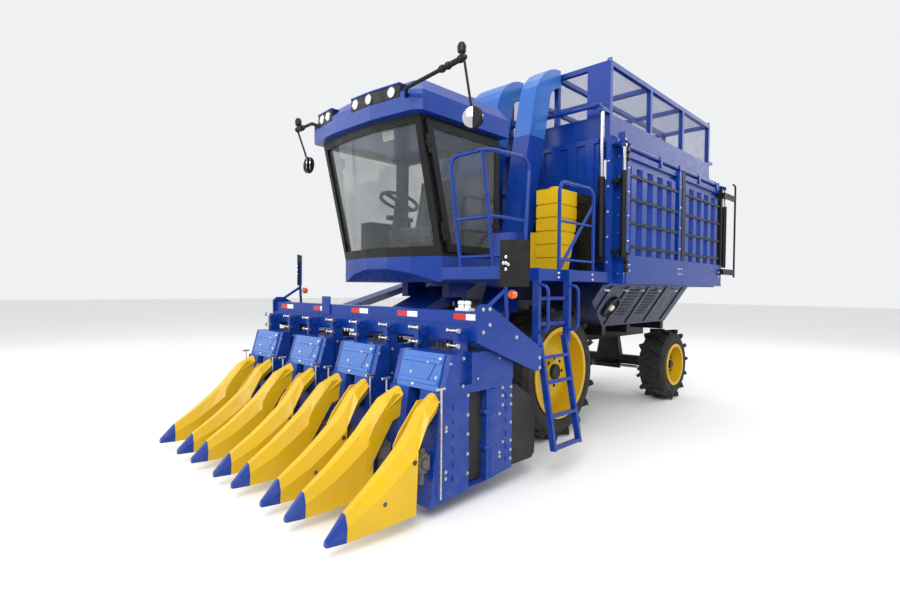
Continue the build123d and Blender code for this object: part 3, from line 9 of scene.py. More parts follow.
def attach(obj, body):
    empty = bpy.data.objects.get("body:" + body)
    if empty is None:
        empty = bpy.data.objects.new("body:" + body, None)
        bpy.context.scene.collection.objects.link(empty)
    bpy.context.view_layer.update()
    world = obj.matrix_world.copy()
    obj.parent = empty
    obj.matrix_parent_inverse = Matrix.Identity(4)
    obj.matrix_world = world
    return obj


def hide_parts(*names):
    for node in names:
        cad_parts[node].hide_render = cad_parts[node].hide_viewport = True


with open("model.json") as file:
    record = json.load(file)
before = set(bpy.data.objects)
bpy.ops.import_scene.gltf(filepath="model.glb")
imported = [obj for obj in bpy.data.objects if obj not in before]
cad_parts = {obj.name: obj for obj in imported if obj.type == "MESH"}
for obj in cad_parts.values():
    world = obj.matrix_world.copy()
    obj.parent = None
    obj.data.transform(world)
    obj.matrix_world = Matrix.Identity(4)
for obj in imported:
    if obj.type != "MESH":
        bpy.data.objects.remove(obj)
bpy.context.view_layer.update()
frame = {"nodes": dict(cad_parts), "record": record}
nodes = frame["nodes"]

# ---------------------------------------- camera
# Its place, axes and lens follow from the photograph's perspective.
camera_x, camera_y, camera_z = 4.965, 3.841, 1.528
camera_data = bpy.data.cameras.new("camera")
camera_data.sensor_width = 36.0
camera_data.lens = 21.05
camera_data.clip_end = 200.0
camera = bpy.data.objects.new("camera", camera_data)
bpy.context.collection.objects.link(camera)
right = Vector((-0.69667, 0.71733, 0.00949)).normalized()
ahead = Vector((-0.71733, -0.69636, -0.02252)).normalized()
up = right.cross(ahead).normalized()
camera.matrix_world = Matrix(((right.x, up.x, -ahead.x, camera_x), (right.y, up.y, -ahead.y, camera_y),
                              (right.z, up.z, -ahead.z, camera_z), (0, 0, 0, 1)))
bpy.context.scene.camera = camera
bpy.context.scene.view_settings.view_transform = "Standard"

# ---------------------------------------- materials
field_dust = (0.34, 0.31, 0.27)
rubber_dust = (0.16, 0.145, 0.125)


def new_material(name):
    """A material with its principled shader, and its tree and object coordinates to build on."""
    material = bpy.data.materials.new(name)
    material.use_nodes = True
    tree = material.node_tree
    shader = tree.nodes["Principled BSDF"]
    coords = tree.nodes.new("ShaderNodeTexCoord")
    return material, tree, shader, coords.outputs["Object"]


def noise(tree, vector, scale, detail=4.0, rough=0.55, stretch=None):
    """A noise texture on the given coordinates; its factor output."""
    if stretch:
        mapping = tree.nodes.new("ShaderNodeMapping")
        mapping.inputs["Scale"].default_value = stretch
        tree.links.new(vector, mapping.inputs["Vector"])
        vector = mapping.outputs["Vector"]
    texture = tree.nodes.new("ShaderNodeTexNoise")
    texture.inputs["Scale"].default_value = scale
    texture.inputs["Detail"].default_value = detail
    texture.inputs["Roughness"].default_value = rough
    tree.links.new(vector, texture.inputs["Vector"])
    return texture.outputs["Fac"]


def remap(tree, value, low, high, to_low, to_high):
    """The value carried from one range to another, clamped."""
    node = tree.nodes.new("ShaderNodeMapRange")
    node.inputs["From Min"].default_value = low
    node.inputs["From Max"].default_value = high
    node.inputs["To Min"].default_value = to_low
    node.inputs["To Max"].default_value = to_high
    tree.links.new(value, node.inputs["Value"])
    return node.outputs["Result"]


def blend_colours(tree, factor, first, second):
    """A mix of two colours, each a tuple or a socket, by the factor socket."""
    node = tree.nodes.new("ShaderNodeMix")
    node.data_type = "RGBA"
    for socket, colour in ((node.inputs[6], first), (node.inputs[7], second)):
        if isinstance(colour, tuple):
            socket.default_value = (*colour, 1.0)
        else:
            tree.links.new(colour, socket)
    tree.links.new(factor, node.inputs[0])
    return node.outputs[2]


def bump(tree, shader, height, strength, distance):
    """Adds a bump of that height texture to the shader."""
    node = tree.nodes.new("ShaderNodeBump")
    node.inputs["Strength"].default_value = strength
    node.inputs["Distance"].default_value = distance
    tree.links.new(height, node.inputs["Height"])
    tree.links.new(node.outputs["Normal"], shader.inputs["Normal"])


def coat_of_paint(name, colour, rough=0.32, dust=0.25, coat=0.5, peel=0.02, metallic=0.0):
    """Enamel on sheet metal: faint shade changes, orange peel, and field dust that thickens low down."""
    material, tree, shader, place = new_material(name)
    shade = tuple(c * 0.78 for c in colour)
    cloud = noise(tree, place, 1.7, 3.0)
    body = blend_colours(tree, remap(tree, cloud, 0.3, 0.7, 0.0, 0.6), colour, shade)
    split = tree.nodes.new("ShaderNodeSeparateXYZ")
    tree.links.new(place, split.inputs[0])
    low = remap(tree, split.outputs["Z"], 0.1, 1.5, 1.0, 0.12)
    speck = remap(tree, noise(tree, place, 9.0, 8.0, 0.7), 0.42, 0.75, 0.0, dust)
    amount = tree.nodes.new("ShaderNodeMath")
    amount.operation = "MULTIPLY"
    tree.links.new(low, amount.inputs[0])
    tree.links.new(speck, amount.inputs[1])
    tree.links.new(blend_colours(tree, amount.outputs[0], body, field_dust), shader.inputs["Base Color"])
    tree.links.new(remap(tree, noise(tree, place, 14.0, 5.0), 0.3, 0.8, rough * 0.8, rough * 1.45),
                   shader.inputs["Roughness"])
    shader.inputs["Metallic"].default_value = metallic
    shader.inputs["Coat Weight"].default_value = coat
    shader.inputs["Coat Roughness"].default_value = 0.12
    shader.inputs["Specular IOR Level"].default_value = 0.25
    bump(tree, shader, noise(tree, place, 160.0, 2.0), peel, 0.002)
    return material


def rubber(name, colour, rough, grain, depth, dust=0.3):
    """Rubber with a moulded grain and pale dust in patches."""
    material, tree, shader, place = new_material(name)
    patch = remap(tree, noise(tree, place, 5.0, 7.0, 0.65), 0.4, 0.72, 0.0, dust)
    tree.links.new(blend_colours(tree, patch, colour, rubber_dust), shader.inputs["Base Color"])
    tree.links.new(remap(tree, noise(tree, place, 20.0), 0.3, 0.7, rough - 0.1, rough + 0.1),
                   shader.inputs["Roughness"])
    bump(tree, shader, noise(tree, place, grain, 4.0), depth, 0.003)
    return material


def bare_metal(name, colour, rough, scratch=40.0, stretch=(1, 1, 1)):
    """Metal with fine scratches along one direction."""
    material, tree, shader, place = new_material(name)
    mark = noise(tree, place, scratch, 5.0, 0.6, stretch)
    worn = tuple(0.7 * c for c in colour)
    tone = blend_colours(tree, remap(tree, mark, 0.3, 0.7, 0.0, 1.0), colour, worn)
    tree.links.new(tone, shader.inputs["Base Color"])
    tree.links.new(remap(tree, mark, 0.3, 0.7, rough * 0.7, rough * 1.5), shader.inputs["Roughness"])
    shader.inputs["Metallic"].default_value = 1.0
    bump(tree, shader, mark, 0.05, 0.001)
    return material


def clear_glass(name, tint, alpha, rough=0.03):
    """Tinted glass with a little dust on it."""
    material, tree, shader, place = new_material(name)
    film = remap(tree, noise(tree, place, 3.0, 6.0), 0.45, 0.8, alpha, min(1.0, alpha + 0.12))
    tree.links.new(film, shader.inputs["Alpha"])
    shader.inputs["Base Color"].default_value = (*tint, 1.0)
    tree.links.new(remap(tree, noise(tree, place, 8.0), 0.3, 0.8, rough, rough + 0.06),
                   shader.inputs["Roughness"])
    shader.inputs["Specular IOR Level"].default_value = 0.8
    return material


def woven(name, colour, scale):
    """Cloth: two crossed waves for the weave, and a soft sheen."""
    material, tree, shader, place = new_material(name)
    heights = []
    for axis in ("X", "Z"):
        wave = tree.nodes.new("ShaderNodeTexWave")
        wave.bands_direction = axis
        wave.inputs["Scale"].default_value = scale
        wave.inputs["Distortion"].default_value = 0.6
        tree.links.new(place, wave.inputs["Vector"])
        heights.append(wave.outputs["Fac"])
    both = tree.nodes.new("ShaderNodeMath")
    both.operation = "MULTIPLY"
    tree.links.new(heights[0], both.inputs[0])
    tree.links.new(heights[1], both.inputs[1])
    raised = tuple(min(1, 1.8 * c) for c in colour)
    tree.links.new(blend_colours(tree, both.outputs[0], colour, raised), shader.inputs["Base Color"])
    shader.inputs["Roughness"].default_value = 0.9
    shader.inputs["Sheen Weight"].default_value = 0.3
    bump(tree, shader, both.outputs[0], 0.3, 0.001)
    return material


# The record's fifteen slots, and the scene's own paints: navy, steel, white, red, orange, silver and grey.
paints = {
    "blue": coat_of_paint("blue_enamel", (0.002, 0.033, 0.245), 0.30, 0.10, 0.12),
    "light_blue": coat_of_paint("light_blue_enamel", (0.022, 0.115, 0.42), 0.3, 0.10, 0.2),
    "navy": coat_of_paint("navy_enamel", (0.003, 0.010, 0.050), 0.4, 0.12, 0.1),
    "yellow": coat_of_paint("yellow_enamel", (0.62, 0.385, 0.003), 0.38, 0.12, 0.12),
    "yellow_tank": coat_of_paint("yellow_plastic", (0.72, 0.45, 0.005), 0.42, 0.08, 0.1, 0.06),
    "black": coat_of_paint("black_paint", (0.004, 0.004, 0.005), 0.45, 0.06, 0.05),
    "dark_grey": coat_of_paint("dark_grey_paint", (0.009, 0.010, 0.013), 0.5, 0.12, 0.05),
    "iron": coat_of_paint("cast_iron", (0.03, 0.03, 0.032), 0.6, 0.4, 0.0, 0.25),
    "chrome": bare_metal("hard_chrome", (0.75, 0.76, 0.78), 0.12),
    "tyre": rubber("tyre_rubber", (0.008, 0.008, 0.008), 0.85, 90.0, 0.15, 0.16),
    "rubber": rubber("flap_rubber", (0.005, 0.005, 0.006), 0.75, 60.0, 0.1, 0.1),
    "glass": clear_glass("cab_glass", (0.10, 0.115, 0.12), 0.24),
    "mesh": coat_of_paint("wire_paint", (0.012, 0.045, 0.26), 0.45, 0.1),
    "seat": woven("seat_cloth", (0.02, 0.02, 0.024), 320.0),
    "plastic": coat_of_paint("grained_plastic", (0.006, 0.006, 0.007), 0.6, 0.06, 0.0, 0.3),
    "steel": bare_metal("zinc_plate", (0.62, 0.62, 0.60), 0.32, 30.0),
    "white": coat_of_paint("white_plastic", (0.78, 0.78, 0.76), 0.4, 0.1),
    "red": coat_of_paint("red_lens", (0.55, 0.012, 0.01), 0.2, 0.1, 1.0),
    "orange": coat_of_paint("orange_lens", (0.75, 0.12, 0.01), 0.2, 0.05, 1.0),
    "lens": clear_glass("lamp_glass", (0.75, 0.78, 0.8), 0.55, 0.05),
    "silver": bare_metal("mirror_glass", (0.82, 0.83, 0.84), 0.04, 8.0),
    "grey": coat_of_paint("grey_plastic", (0.10, 0.10, 0.10), 0.5, 0.1, 0.0),
}
# Nodes whose paint isn't the one that the record's slot names.
own_paint = {"engine_hood": "navy"}
for entry in frame["record"]["subparts"]:
    part = nodes[entry["node"]]
    part.data.materials.clear()
    part.data.materials.append(paints[own_paint.get(entry["node"], entry["material_slot"])])


# ---------------------------------------- light, world and floor
def add_light(name, place, size, energy, aim=(0.0, 0.0, 1.5), colour=(1, 1, 1)):
    """A soft square lamp that looks at aim."""
    data = bpy.data.lights.new(name, "AREA")
    data.energy = energy
    data.size = size
    data.color = colour
    lamp = bpy.data.objects.new(name, data)
    lamp.location = place
    lamp.rotation_euler = (Vector(aim) - Vector(place)).to_track_quat("-Z", "Y").to_euler()
    bpy.context.collection.objects.link(lamp)


add_light("key", (9.0, 7.0, 9.0), 6.0, 1150)
add_light("fill", (8.0, -7.0, 6.0), 8.0, 380)
add_light("rear", (-9.0, 4.0, 8.0), 8.0, 260)
add_light("over", (0.0, 0.0, 12.0), 10.0, 420, (0, 0, 0))
world = bpy.data.worlds.new("studio")
world.use_nodes = True
world.node_tree.nodes["Background"].inputs["Color"].default_value = (0.97, 0.98, 1.0, 1.0)
world.node_tree.nodes["Background"].inputs["Strength"].default_value = 0.9
bpy.context.scene.world = world

floor_mesh = bpy.data.meshes.new("floor")
floor_bm = bmesh.new()
bmesh.ops.create_grid(floor_bm, x_segments=1, y_segments=1, size=60.0)
floor_bm.to_mesh(floor_mesh)
floor_bm.free()
floor = bpy.data.objects.new("floor", floor_mesh)
bpy.context.collection.objects.link(floor)
floor_paint, floor_tree, floor_shader, floor_place = new_material("pale_floor")
floor_cloud = noise(floor_tree, floor_place, 0.7)
floor_tree.links.new(blend_colours(floor_tree, floor_cloud, (0.80, 0.80, 0.79), (0.84, 0.84, 0.83)),
                     floor_shader.inputs["Base Color"])
floor_shader.inputs["Roughness"].default_value = 0.8
floor_mesh.materials.append(floor_paint)

# ---------------------------------------- helpers for the small pieces
def turned(bm, centre, normal, profile, sides=12):
    """A turned body: rings of (radius, height) along a normal from a centre."""
    normal = Vector(normal).normalized()
    across = normal.orthogonal().normalized()
    other = normal.cross(across)
    rings = []
    for radius, height in profile:
        ring = []
        for step in range(sides):
            angle = 2 * math.pi * step / sides
            ring.append(bm.verts.new(Vector(centre) + normal * height
                                     + (across * math.cos(angle) + other * math.sin(angle)) * radius))
        rings.append(ring)
    for low, high in zip(rings, rings[1:]):
        for step in range(sides):
            after = (step + 1) % sides
            bm.faces.new((low[step], low[after], high[after], high[step]))
    bm.faces.new(rings[0][::-1])
    bm.faces.new(rings[-1])


def wire(bm, start, end, radius, sides=6):
    """A straight round bar between two points."""
    run = Vector(end) - Vector(start)
    turned(bm, start, run, [(radius, 0), (radius, run.length)], sides)


def prism(bm, outline, axis, low, high):
    """An outline in the plane across an axis, drawn from low to high along it."""
    index = "xyz".index(axis)
    rings = []
    for level in (low, high):
        rings.append([bm.verts.new([*point[:index], level, *point[index:]]) for point in outline])
    count = len(outline)
    for step in range(count):
        after = (step + 1) % count
        bm.faces.new((rings[0][step], rings[0][after], rings[1][after], rings[1][step]))
    bm.faces.new(rings[0][::-1])
    bm.faces.new(rings[1])


def box(bm, low, high):
    """A block between two corners."""
    (x0, y0, z0), (x1, y1, z1) = low, high
    prism(bm, [(x0, y0), (x1, y0), (x1, y1), (x0, y1)], "z", z0, z1)


def bolt(bm, place, normal, radius=0.010):
    """A hexagon bolt head on its washer."""
    turned(bm, place, normal, [(radius * 1.45, 0), (radius * 1.45, 0.002)], 10)
    turned(bm, Vector(place) + Vector(normal).normalized() * 0.002, normal,
           [(radius, 0), (radius, 0.006), (radius * 0.8, 0.008)], 6)


def make(name, bm, body, slot, bevel=0.0):
    """The finished piece, with outward normals, a bevel where asked, its paint and its body."""
    bmesh.ops.recalc_face_normals(bm, faces=bm.faces)
    mesh = bpy.data.meshes.new(name)
    bm.to_mesh(mesh)
    bm.free()
    mesh.polygons.foreach_set("use_smooth", [True] * len(mesh.polygons))
    mesh.set_sharp_from_angle(angle=math.radians(32))
    piece = bpy.data.objects.new(name, mesh)
    bpy.context.collection.objects.link(piece)
    mesh.materials.append(paints[slot])
    if bevel:
        edge = piece.modifiers.new("edge", "BEVEL")
        edge.width = bevel
        edge.segments = 2
        edge.limit_method = "ANGLE"
    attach(piece, body)
    return piece


# The Y of the middle of each row.
rows = [-1.14, -0.38, 0.38, 1.14]

# ---------------------------------------- cage: crossed wires for the mesh plates
# The CAD node has each panel as a thin plate. Each plate is found by its joined vertices, and becomes two
# sets of slanted wires that end at its own edges, one set just over the other.
wire_pitch = 0.034
wire_radius = 0.0014
wire_lift = 0.001
shortest_wire = 0.01
plates = bmesh.new()
plates.from_mesh(nodes["cage_mesh"].data)
bmesh.ops.remove_doubles(plates, verts=plates.verts, dist=1e-5)
seen = set()
wires = bmesh.new()
for first in plates.verts:
    if first in seen:
        continue
    group = [first]
    seen.add(first)
    for vert in group:
        for edge in vert.link_edges:
            mate = edge.other_vert(vert)
            if mate not in seen:
                seen.add(mate)
                group.append(mate)
    low = [min(vert.co[axis] for vert in group) for axis in range(3)]
    high = [max(vert.co[axis] for vert in group) for axis in range(3)]
    thin = min(range(3), key=lambda axis: high[axis] - low[axis])
    first_axis, second_axis = [axis for axis in range(3) if axis != thin]
    level = (low[thin] + high[thin]) / 2
    wide = high[first_axis] - low[first_axis]
    tall = high[second_axis] - low[second_axis]
    for lean in (1, -1):
        for step in range(1, int((wide + tall) / wire_pitch) + 1):
            offset = step * wire_pitch
            reach = (max(0.0, offset - tall), min(wide, offset))
            ends = []
            for along in reach:
                up_plate = offset - along if lean == 1 else tall - (offset - along)
                point = [0.0, 0.0, 0.0]
                point[first_axis] = low[first_axis] + along
                point[second_axis] = low[second_axis] + up_plate
                point[thin] = level + lean * wire_lift
                ends.append(point)
            if math.dist(*ends) > shortest_wire:
                wire(wires, *ends, wire_radius, 3)
plates.free()
cage_wire = make("cage_wire", wires, "cage", "mesh")
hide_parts("cage_mesh")

# ---------------------------------------- picking units: bolts, curtains and columns
# Both side walls of each unit carry the same bolts. In the opening of each wall hang a folded black curtain
# and an upright column on two brackets. The walls and the curtains are set out from the middle of the row.
unit_wall = 0.260
curtain_face = 0.192
wall_bolts = [(2.263, 0.786), (2.263, 0.649), (2.263, 0.515), (2.263, 0.377), (2.263, 0.241),
              (1.778, 0.785), (1.778, 0.719), (1.778, 0.652), (1.778, 0.513), (1.778, 0.375), (1.778, 0.303),
              (1.778, 0.237), (1.880, 0.79), (1.880, 0.73), (1.878, 0.66), (1.915, 0.60), (1.873, 0.382),
              (1.910, 0.31), (1.910, 0.28), (2.440, 1.02), (2.478, 0.60), (2.478, 0.575), (2.525, 0.534),
              (2.525, 0.386), (2.478, 0.30), (2.480, 0.256), (2.311, 1.045), (2.317, 0.855), (2.165, 0.89),
              (1.925, 1.015)]
heads = bmesh.new()
curtains = bmesh.new()
columns = bmesh.new()
for row in rows:
    for side in (-1, 1):
        wall = row + side * unit_wall
        for x, z in wall_bolts:
            bolt(heads, (x, wall, z), (0, side, 0), 0.009)
        face = row + side * curtain_face
        prism(curtains, [(2.244, face), (2.244, face + side * 0.006), (2.150, face + side * 0.014),
                         (2.040, face + side * 0.008), (2.035, face)], "z", 0.150, 0.795)
        turned(columns, (1.992, row + side * 0.230, 0.145), (0, 0, 1), [(0.040, 0), (0.040, 0.65)], 20)
        for z in (0.62, 0.36):
            box(columns, (1.968, min(face, wall), z), (2.072, max(face, wall), z + 0.03))
make("unit_bolts", heads, "header", "steel")
make("unit_curtains", curtains, "header", "rubber")
make("unit_columns", columns, "header", "blue", 0.003)

# ---------------------------------------- picking units: adjusting rods and gearboxes
# Each unit has two upright rods with T handles in front, each on two short stays, and two drive boxes low
# down behind its snouts, each with a shaft housing above, below and at its outer side.
rod_x = 2.545
gearbox_x = 2.650
housing_above = [(0.048, 0), (0.048, 0.02), (0.030, 0.03), (0.030, 0.06)]
housing_below = [(0.044, 0), (0.044, 0.02), (0.026, 0.03), (0.026, 0.10)]
housing_aside = [(0.034, 0), (0.034, 0.02), (0.02, 0.03)]
rods = bmesh.new()
boxes = bmesh.new()
for row in rows:
    for side in (-1, 1):
        y = row + side * 0.283
        wire(rods, (rod_x, y, 0.14), (rod_x, y, 0.865), 0.007, 8)
        wire(rods, (2.515, y, 0.868), (2.585, y, 0.868), 0.010, 10)
        for z in (0.30, 0.78):
            wire(rods, (rod_x, y, z), (rod_x, row + side * 0.255, z), 0.006, 6)
        centre = row + side * 0.200
        box(boxes, (2.600, centre - 0.040, 0.34), (2.700, centre + 0.040, 0.44))
        turned(boxes, (gearbox_x, centre, 0.43), (0, 0, 1), housing_above, 16)
        turned(boxes, (gearbox_x, centre, 0.35), (0, 0, -1), housing_below, 16)
        turned(boxes, (gearbox_x, centre + side * 0.035, 0.39), (0, side, 0), housing_aside, 14)
make("unit_rods", rods, "header", "steel")
make("unit_gearboxes", boxes, "header", "grey", 0.004)

# ---------------------------------------- unit covers: latch line and bolts
# The covers lean back, so their details are set out along the slope, from the foot of the cover.
slope = Vector((-0.073, 0.0, 0.245)).normalized()
outward = Vector((0.245, 0.0, 0.073)).normalized()
foot = Vector((2.515, 0.0, 0.835))
marks = bmesh.new()
heads = bmesh.new()


def on_cover(row, across, along):
    """A point on a unit's cover: this far across from the row, this far up the slope."""
    return foot + slope * along + Vector((0, row + across, 0))


def strip(bm, start, end, width, height):
    """A thin flat strip on the cover between two of its points."""
    run = (end - start).normalized()
    aside = run.cross(outward) * width / 2
    corners = [start - aside, start + aside, end + aside, end - aside]
    rings = [[bm.verts.new(corner + outward * level) for corner in corners] for level in (-0.001, height)]
    for step in range(4):
        after = (step + 1) % 4
        bm.faces.new((rings[0][step], rings[0][after], rings[1][after], rings[1][step]))
    bm.faces.new(rings[0][::-1])
    bm.faces.new(rings[1])


for row in rows:
    for across, along in ((-0.083, 0.105), (0.068, 0.19), (-0.04, 0.025), (0.175, 0.22), (0.175, 0.09)):
        bolt(heads, on_cover(row, across, along) + outward * 0.0005, outward, 0.008)
    path = [on_cover(row, 0.145, 0.185), on_cover(row, 0.095, 0.055), on_cover(row, -0.15, 0.050)]
    for start, end in zip(path, path[1:]):
        strip(marks, start, end, 0.007, 0.0015)
make("cover_bolts", heads, "header", "steel")
make("cover_latches", marks, "header", "black")

# ---------------------------------------- snouts: fixing plugs on their sides
# Two plugs on the outer side of each snout, sunk a little into it.
plug_sink = 0.006
plug_profile = [(0.016, 0), (0.016, 0.006), (0.011, 0.009)]
plugs = bmesh.new()
for row in rows:
    for side in (-1, 1):
        for x, z, reach in ((3.010, 0.245, 0.286), (2.800, 0.450, 0.315)):
            turned(plugs, (x, row + side * (reach - plug_sink), z), (0, side, 0), plug_profile, 14)
make("snout_plugs", plugs, "header", "iron")

# ---------------------------------------- toolbar: reflectors, pins, drives and valves
# The reflectors are pairs of a red and a white strip along the toolbar's front face, the last one cut short.
strip_back, strip_front, strip_low, strip_high = 2.209, 2.212, 1.302, 1.346
toolbar_end = 1.436
red = bmesh.new()
white = bmesh.new()
for start in (-1.314, -0.684, -0.054, 0.576, 1.206):
    box(red, (strip_back, start, strip_low), (strip_front, start + 0.118, strip_high))
    box(white, (strip_back, start + 0.120, strip_low),
        (strip_front, min(start + 0.238, toolbar_end), strip_high))
make("toolbar_reflectors_red", red, "header", "red", 0.0008)
make("toolbar_reflectors_white", white, "header", "white", 0.0008)

# Each unit hangs from two pairs of pins, and has a plate with twelve drive caps on its top.
drive_cap = [(0.014, 0), (0.014, 0.020), (0.008, 0.026), (0.008, 0.046)]
pins = bmesh.new()
manifold = bmesh.new()
for row in rows:
    for side in (-1, 1):
        y = row + side * 0.200
        for z, reach in ((1.235, 0.070), (1.130, 0.062)):
            wire(pins, (2.345, y - reach, z), (2.345, y + reach * 0.6, z), 0.009, 8)
            for end in (-reach * 0.85, reach * 0.5):
                turned(pins, (2.345, y + end, z), (0, 1, 0), [(0.018, 0), (0.018, 0.012)], 10)
    box(manifold, (2.04, row - 0.13, 1.079), (2.26, row + 0.13, 1.092))
    for index in range(6):
        for x in (2.09, 2.20):
            y = row - 0.11 + index * 0.044
            turned(manifold, (x, y, 1.090), (0, 0, 1), drive_cap, 8)
make("hanger_pins", pins, "header", "steel")
make("spindle_drives", manifold, "header", "iron", 0.001)

# Bolts on both end plates, and four valves on a base at the left end.
end_plate = 1.460
heads = bmesh.new()
for side in (-1, 1):
    for x, z in ((2.180, 1.382), (2.108, 1.383), (2.106, 1.271), (2.177, 1.221), (1.793, 1.165),
                 (1.490, 0.985), (1.488, 0.906)):
        bolt(heads, (x, side * end_plate, z), (0, side, 0), 0.011)
valves = bmesh.new()
box(valves, (2.115, 1.195, 1.364), (2.185, 1.325, 1.384))
for index in range(4):
    y = 1.212 + index * 0.032
    turned(valves, (2.15 + 0.01 * (index % 2), y, 1.383), (0, 0, 1),
           [(0.014, 0), (0.014, 0.018), (0.009, 0.022), (0.017, 0.030), (0.017, 0.046), (0.010, 0.054)], 12)
make("end_plate_bolts", heads, "header", "steel")
make("toolbar_valves", valves, "header", "white", 0.001)

# ---------------------------------------- header mirrors: bolts and orange lamps
# The bolts stand on the front faces of the dark plates; a lamp hangs on each arm.
plate_x, plate_y, plate_z = 1.890, 1.508, 1.713
half_plate = 0.007
plate_turn = math.radians(40)
chrome = bmesh.new()
lamps = bmesh.new()
for side in (-1, 1):
    ahead_of_plate = Vector((math.cos(plate_turn), side * math.sin(plate_turn), 0))
    along_plate = Vector((-math.sin(plate_turn), side * math.cos(plate_turn), 0))
    middle = Vector((plate_x, side * plate_y, plate_z)) + ahead_of_plate * half_plate
    for across, height in ((-0.065, 0.045), (-0.065, 0.0), (-0.065, -0.045), (-0.082, 0.0), (-0.047, -0.01)):
        turned(chrome, middle + along_plate * across + Vector((0, 0, height)), ahead_of_plate,
               [(0.011, 0), (0.011, 0.012), (0.006, 0.014), (0.006, 0.020)], 10)
    turned(lamps, (1.830, side * 1.462, 1.485), (1, 0, 0),
           [(0.030, 0), (0.034, 0.010), (0.034, 0.035), (0.024, 0.046)], 18)
make("mirror_plate_bolts", chrome, "header", "chrome")
make("marker_lamps", lamps, "header", "orange", 0.001)

# ---------------------------------------- platform, jamb and basket: bolts
# First the platform's left edge, then both faces of the door's jamb, then the basket's front wall.
heads = bmesh.new()
for x, z in ((1.780, 1.664), (1.780, 1.620), (1.033, 1.668), (1.032, 1.630), (0.454, 1.668), (0.451, 1.620)):
    bolt(heads, (x, 1.335, z), (0, 1, 0), 0.010)
for z in (1.69, 1.87, 2.10, 2.28, 2.45, 2.66, 2.86, 3.02):
    bolt(heads, (-0.008, 1.420, z), (0, 1, 0), 0.009)
    bolt(heads, (-0.006, 1.360, z), (1, 0, 0), 0.009)
for z in (1.80, 2.05, 2.30, 2.55, 2.80):
    for y in (-1.31, 1.31):
        bolt(heads, (0.130, y, z), (1, 0, 0), 0.009)
make("body_bolts", heads, "chassis", "steel")

# ---------------------------------------- engine hood: fan outlet, louvres and loops
# The hood's sides lean in towards its foot, so the pieces on them are set out along the lean.
hood_lean, hood_rise = 0.300, 0.455
hood_foot_y, hood_foot_z = 1.000, 1.120
lean_up = Vector((0, hood_lean, hood_rise)).normalized()
lean_out = Vector((0, hood_rise, -hood_lean)).normalized()
outlet_profile = [(0.128, -0.004), (0.128, 0.026), (0.112, 0.030), (0.104, 0.010), (0.050, 0.004)]
slat_pitch = 0.034


def on_hood(x, z, side):
    """A point on the hood's side wall, and the wall's outward normal there."""
    y = hood_foot_y + hood_lean * (z - hood_foot_z) / hood_rise
    return Vector((x, side * y, z)), Vector((0, side * lean_out.y, lean_out.z))


fans = bmesh.new()
hubs = bmesh.new()
slats = bmesh.new()
loops = bmesh.new()
for side in (-1, 1):
    centre, away = on_hood(-0.270, 1.345, side)
    turned(fans, centre, away, outlet_profile, 36)
    turned(hubs, centre + away * 0.004, away, [(0.034, 0), (0.034, 0.030), (0.022, 0.036)], 24)
    for index in range(9):
        for start, end in ((-0.74, -0.50), (-1.24, -1.00)):
            z = 1.250 + index * slat_pitch
            place, away = on_hood(start, z, side)
            rise = Vector((0, side * lean_up.y, lean_up.z))
            corner = [place - away * 0.002, place + away * 0.012, place + rise * 0.022 - away * 0.002]
            prism(slats, [(point.y, point.z) for point in corner], "x", start, end)
    for x in (0.071, -0.345, -0.743, -1.203, -1.690):
        place, away = on_hood(x, 1.535, side)
        ends = (place + Vector((-0.035, 0, 0)), place + Vector((0.035, 0, 0)))
        for end in ends:
            wire(loops, end - away * 0.002, end + away * 0.032, 0.006, 8)
        wire(loops, ends[0] + away * 0.030, ends[1] + away * 0.030, 0.006, 8)
make("fan_outlets", fans, "chassis", "black")
make("fan_hubs", hubs, "chassis", "white", 0.001)
make("hood_louvres", slats, "chassis", "dark_grey")
make("hood_loops", loops, "chassis", "white")

# ---------------------------------------- unloading door: hinge gear and bolts
# Black hinge gear stands on the jamb at the top and bottom of the door; the bolts are on the door's bands.
knuckle = [(0.021, 0), (0.021, 0.018), (0.012, 0.022), (0.012, 0.034)]
door_face = 1.426
gear = bmesh.new()
for low, high in ((2.780, 3.010), (1.680, 1.930)):
    middle = (low + high) / 2
    box(gear, (-0.036, 1.420, low), (-0.010, 1.432, high))
    for z in (low + 0.045, middle, high - 0.045):
        turned(gear, (-0.023, 1.430, z), (0, 1, 0), knuckle, 12)
    wire(gear, (-0.023, 1.444, low + 0.02), (-0.023, 1.444, high - 0.02), 0.006, 8)
make("jamb_gear", gear, "chassis", "black", 0.001)
heads = bmesh.new()
for z in (1.72, 1.78):
    for x in (-1.42, -1.50, -2.86, -0.12):
        bolt(heads, (x, door_face, z), (0, 1, 0), 0.009)
for z in (2.02, 2.27, 2.51, 2.75):
    bolt(heads, (-1.440, door_face, z), (0, 1, 0), 0.008)
    bolt(heads, (-0.078, door_face, z), (0, 1, 0), 0.008)
make("door_bolts", heads, "basket_door", "steel")

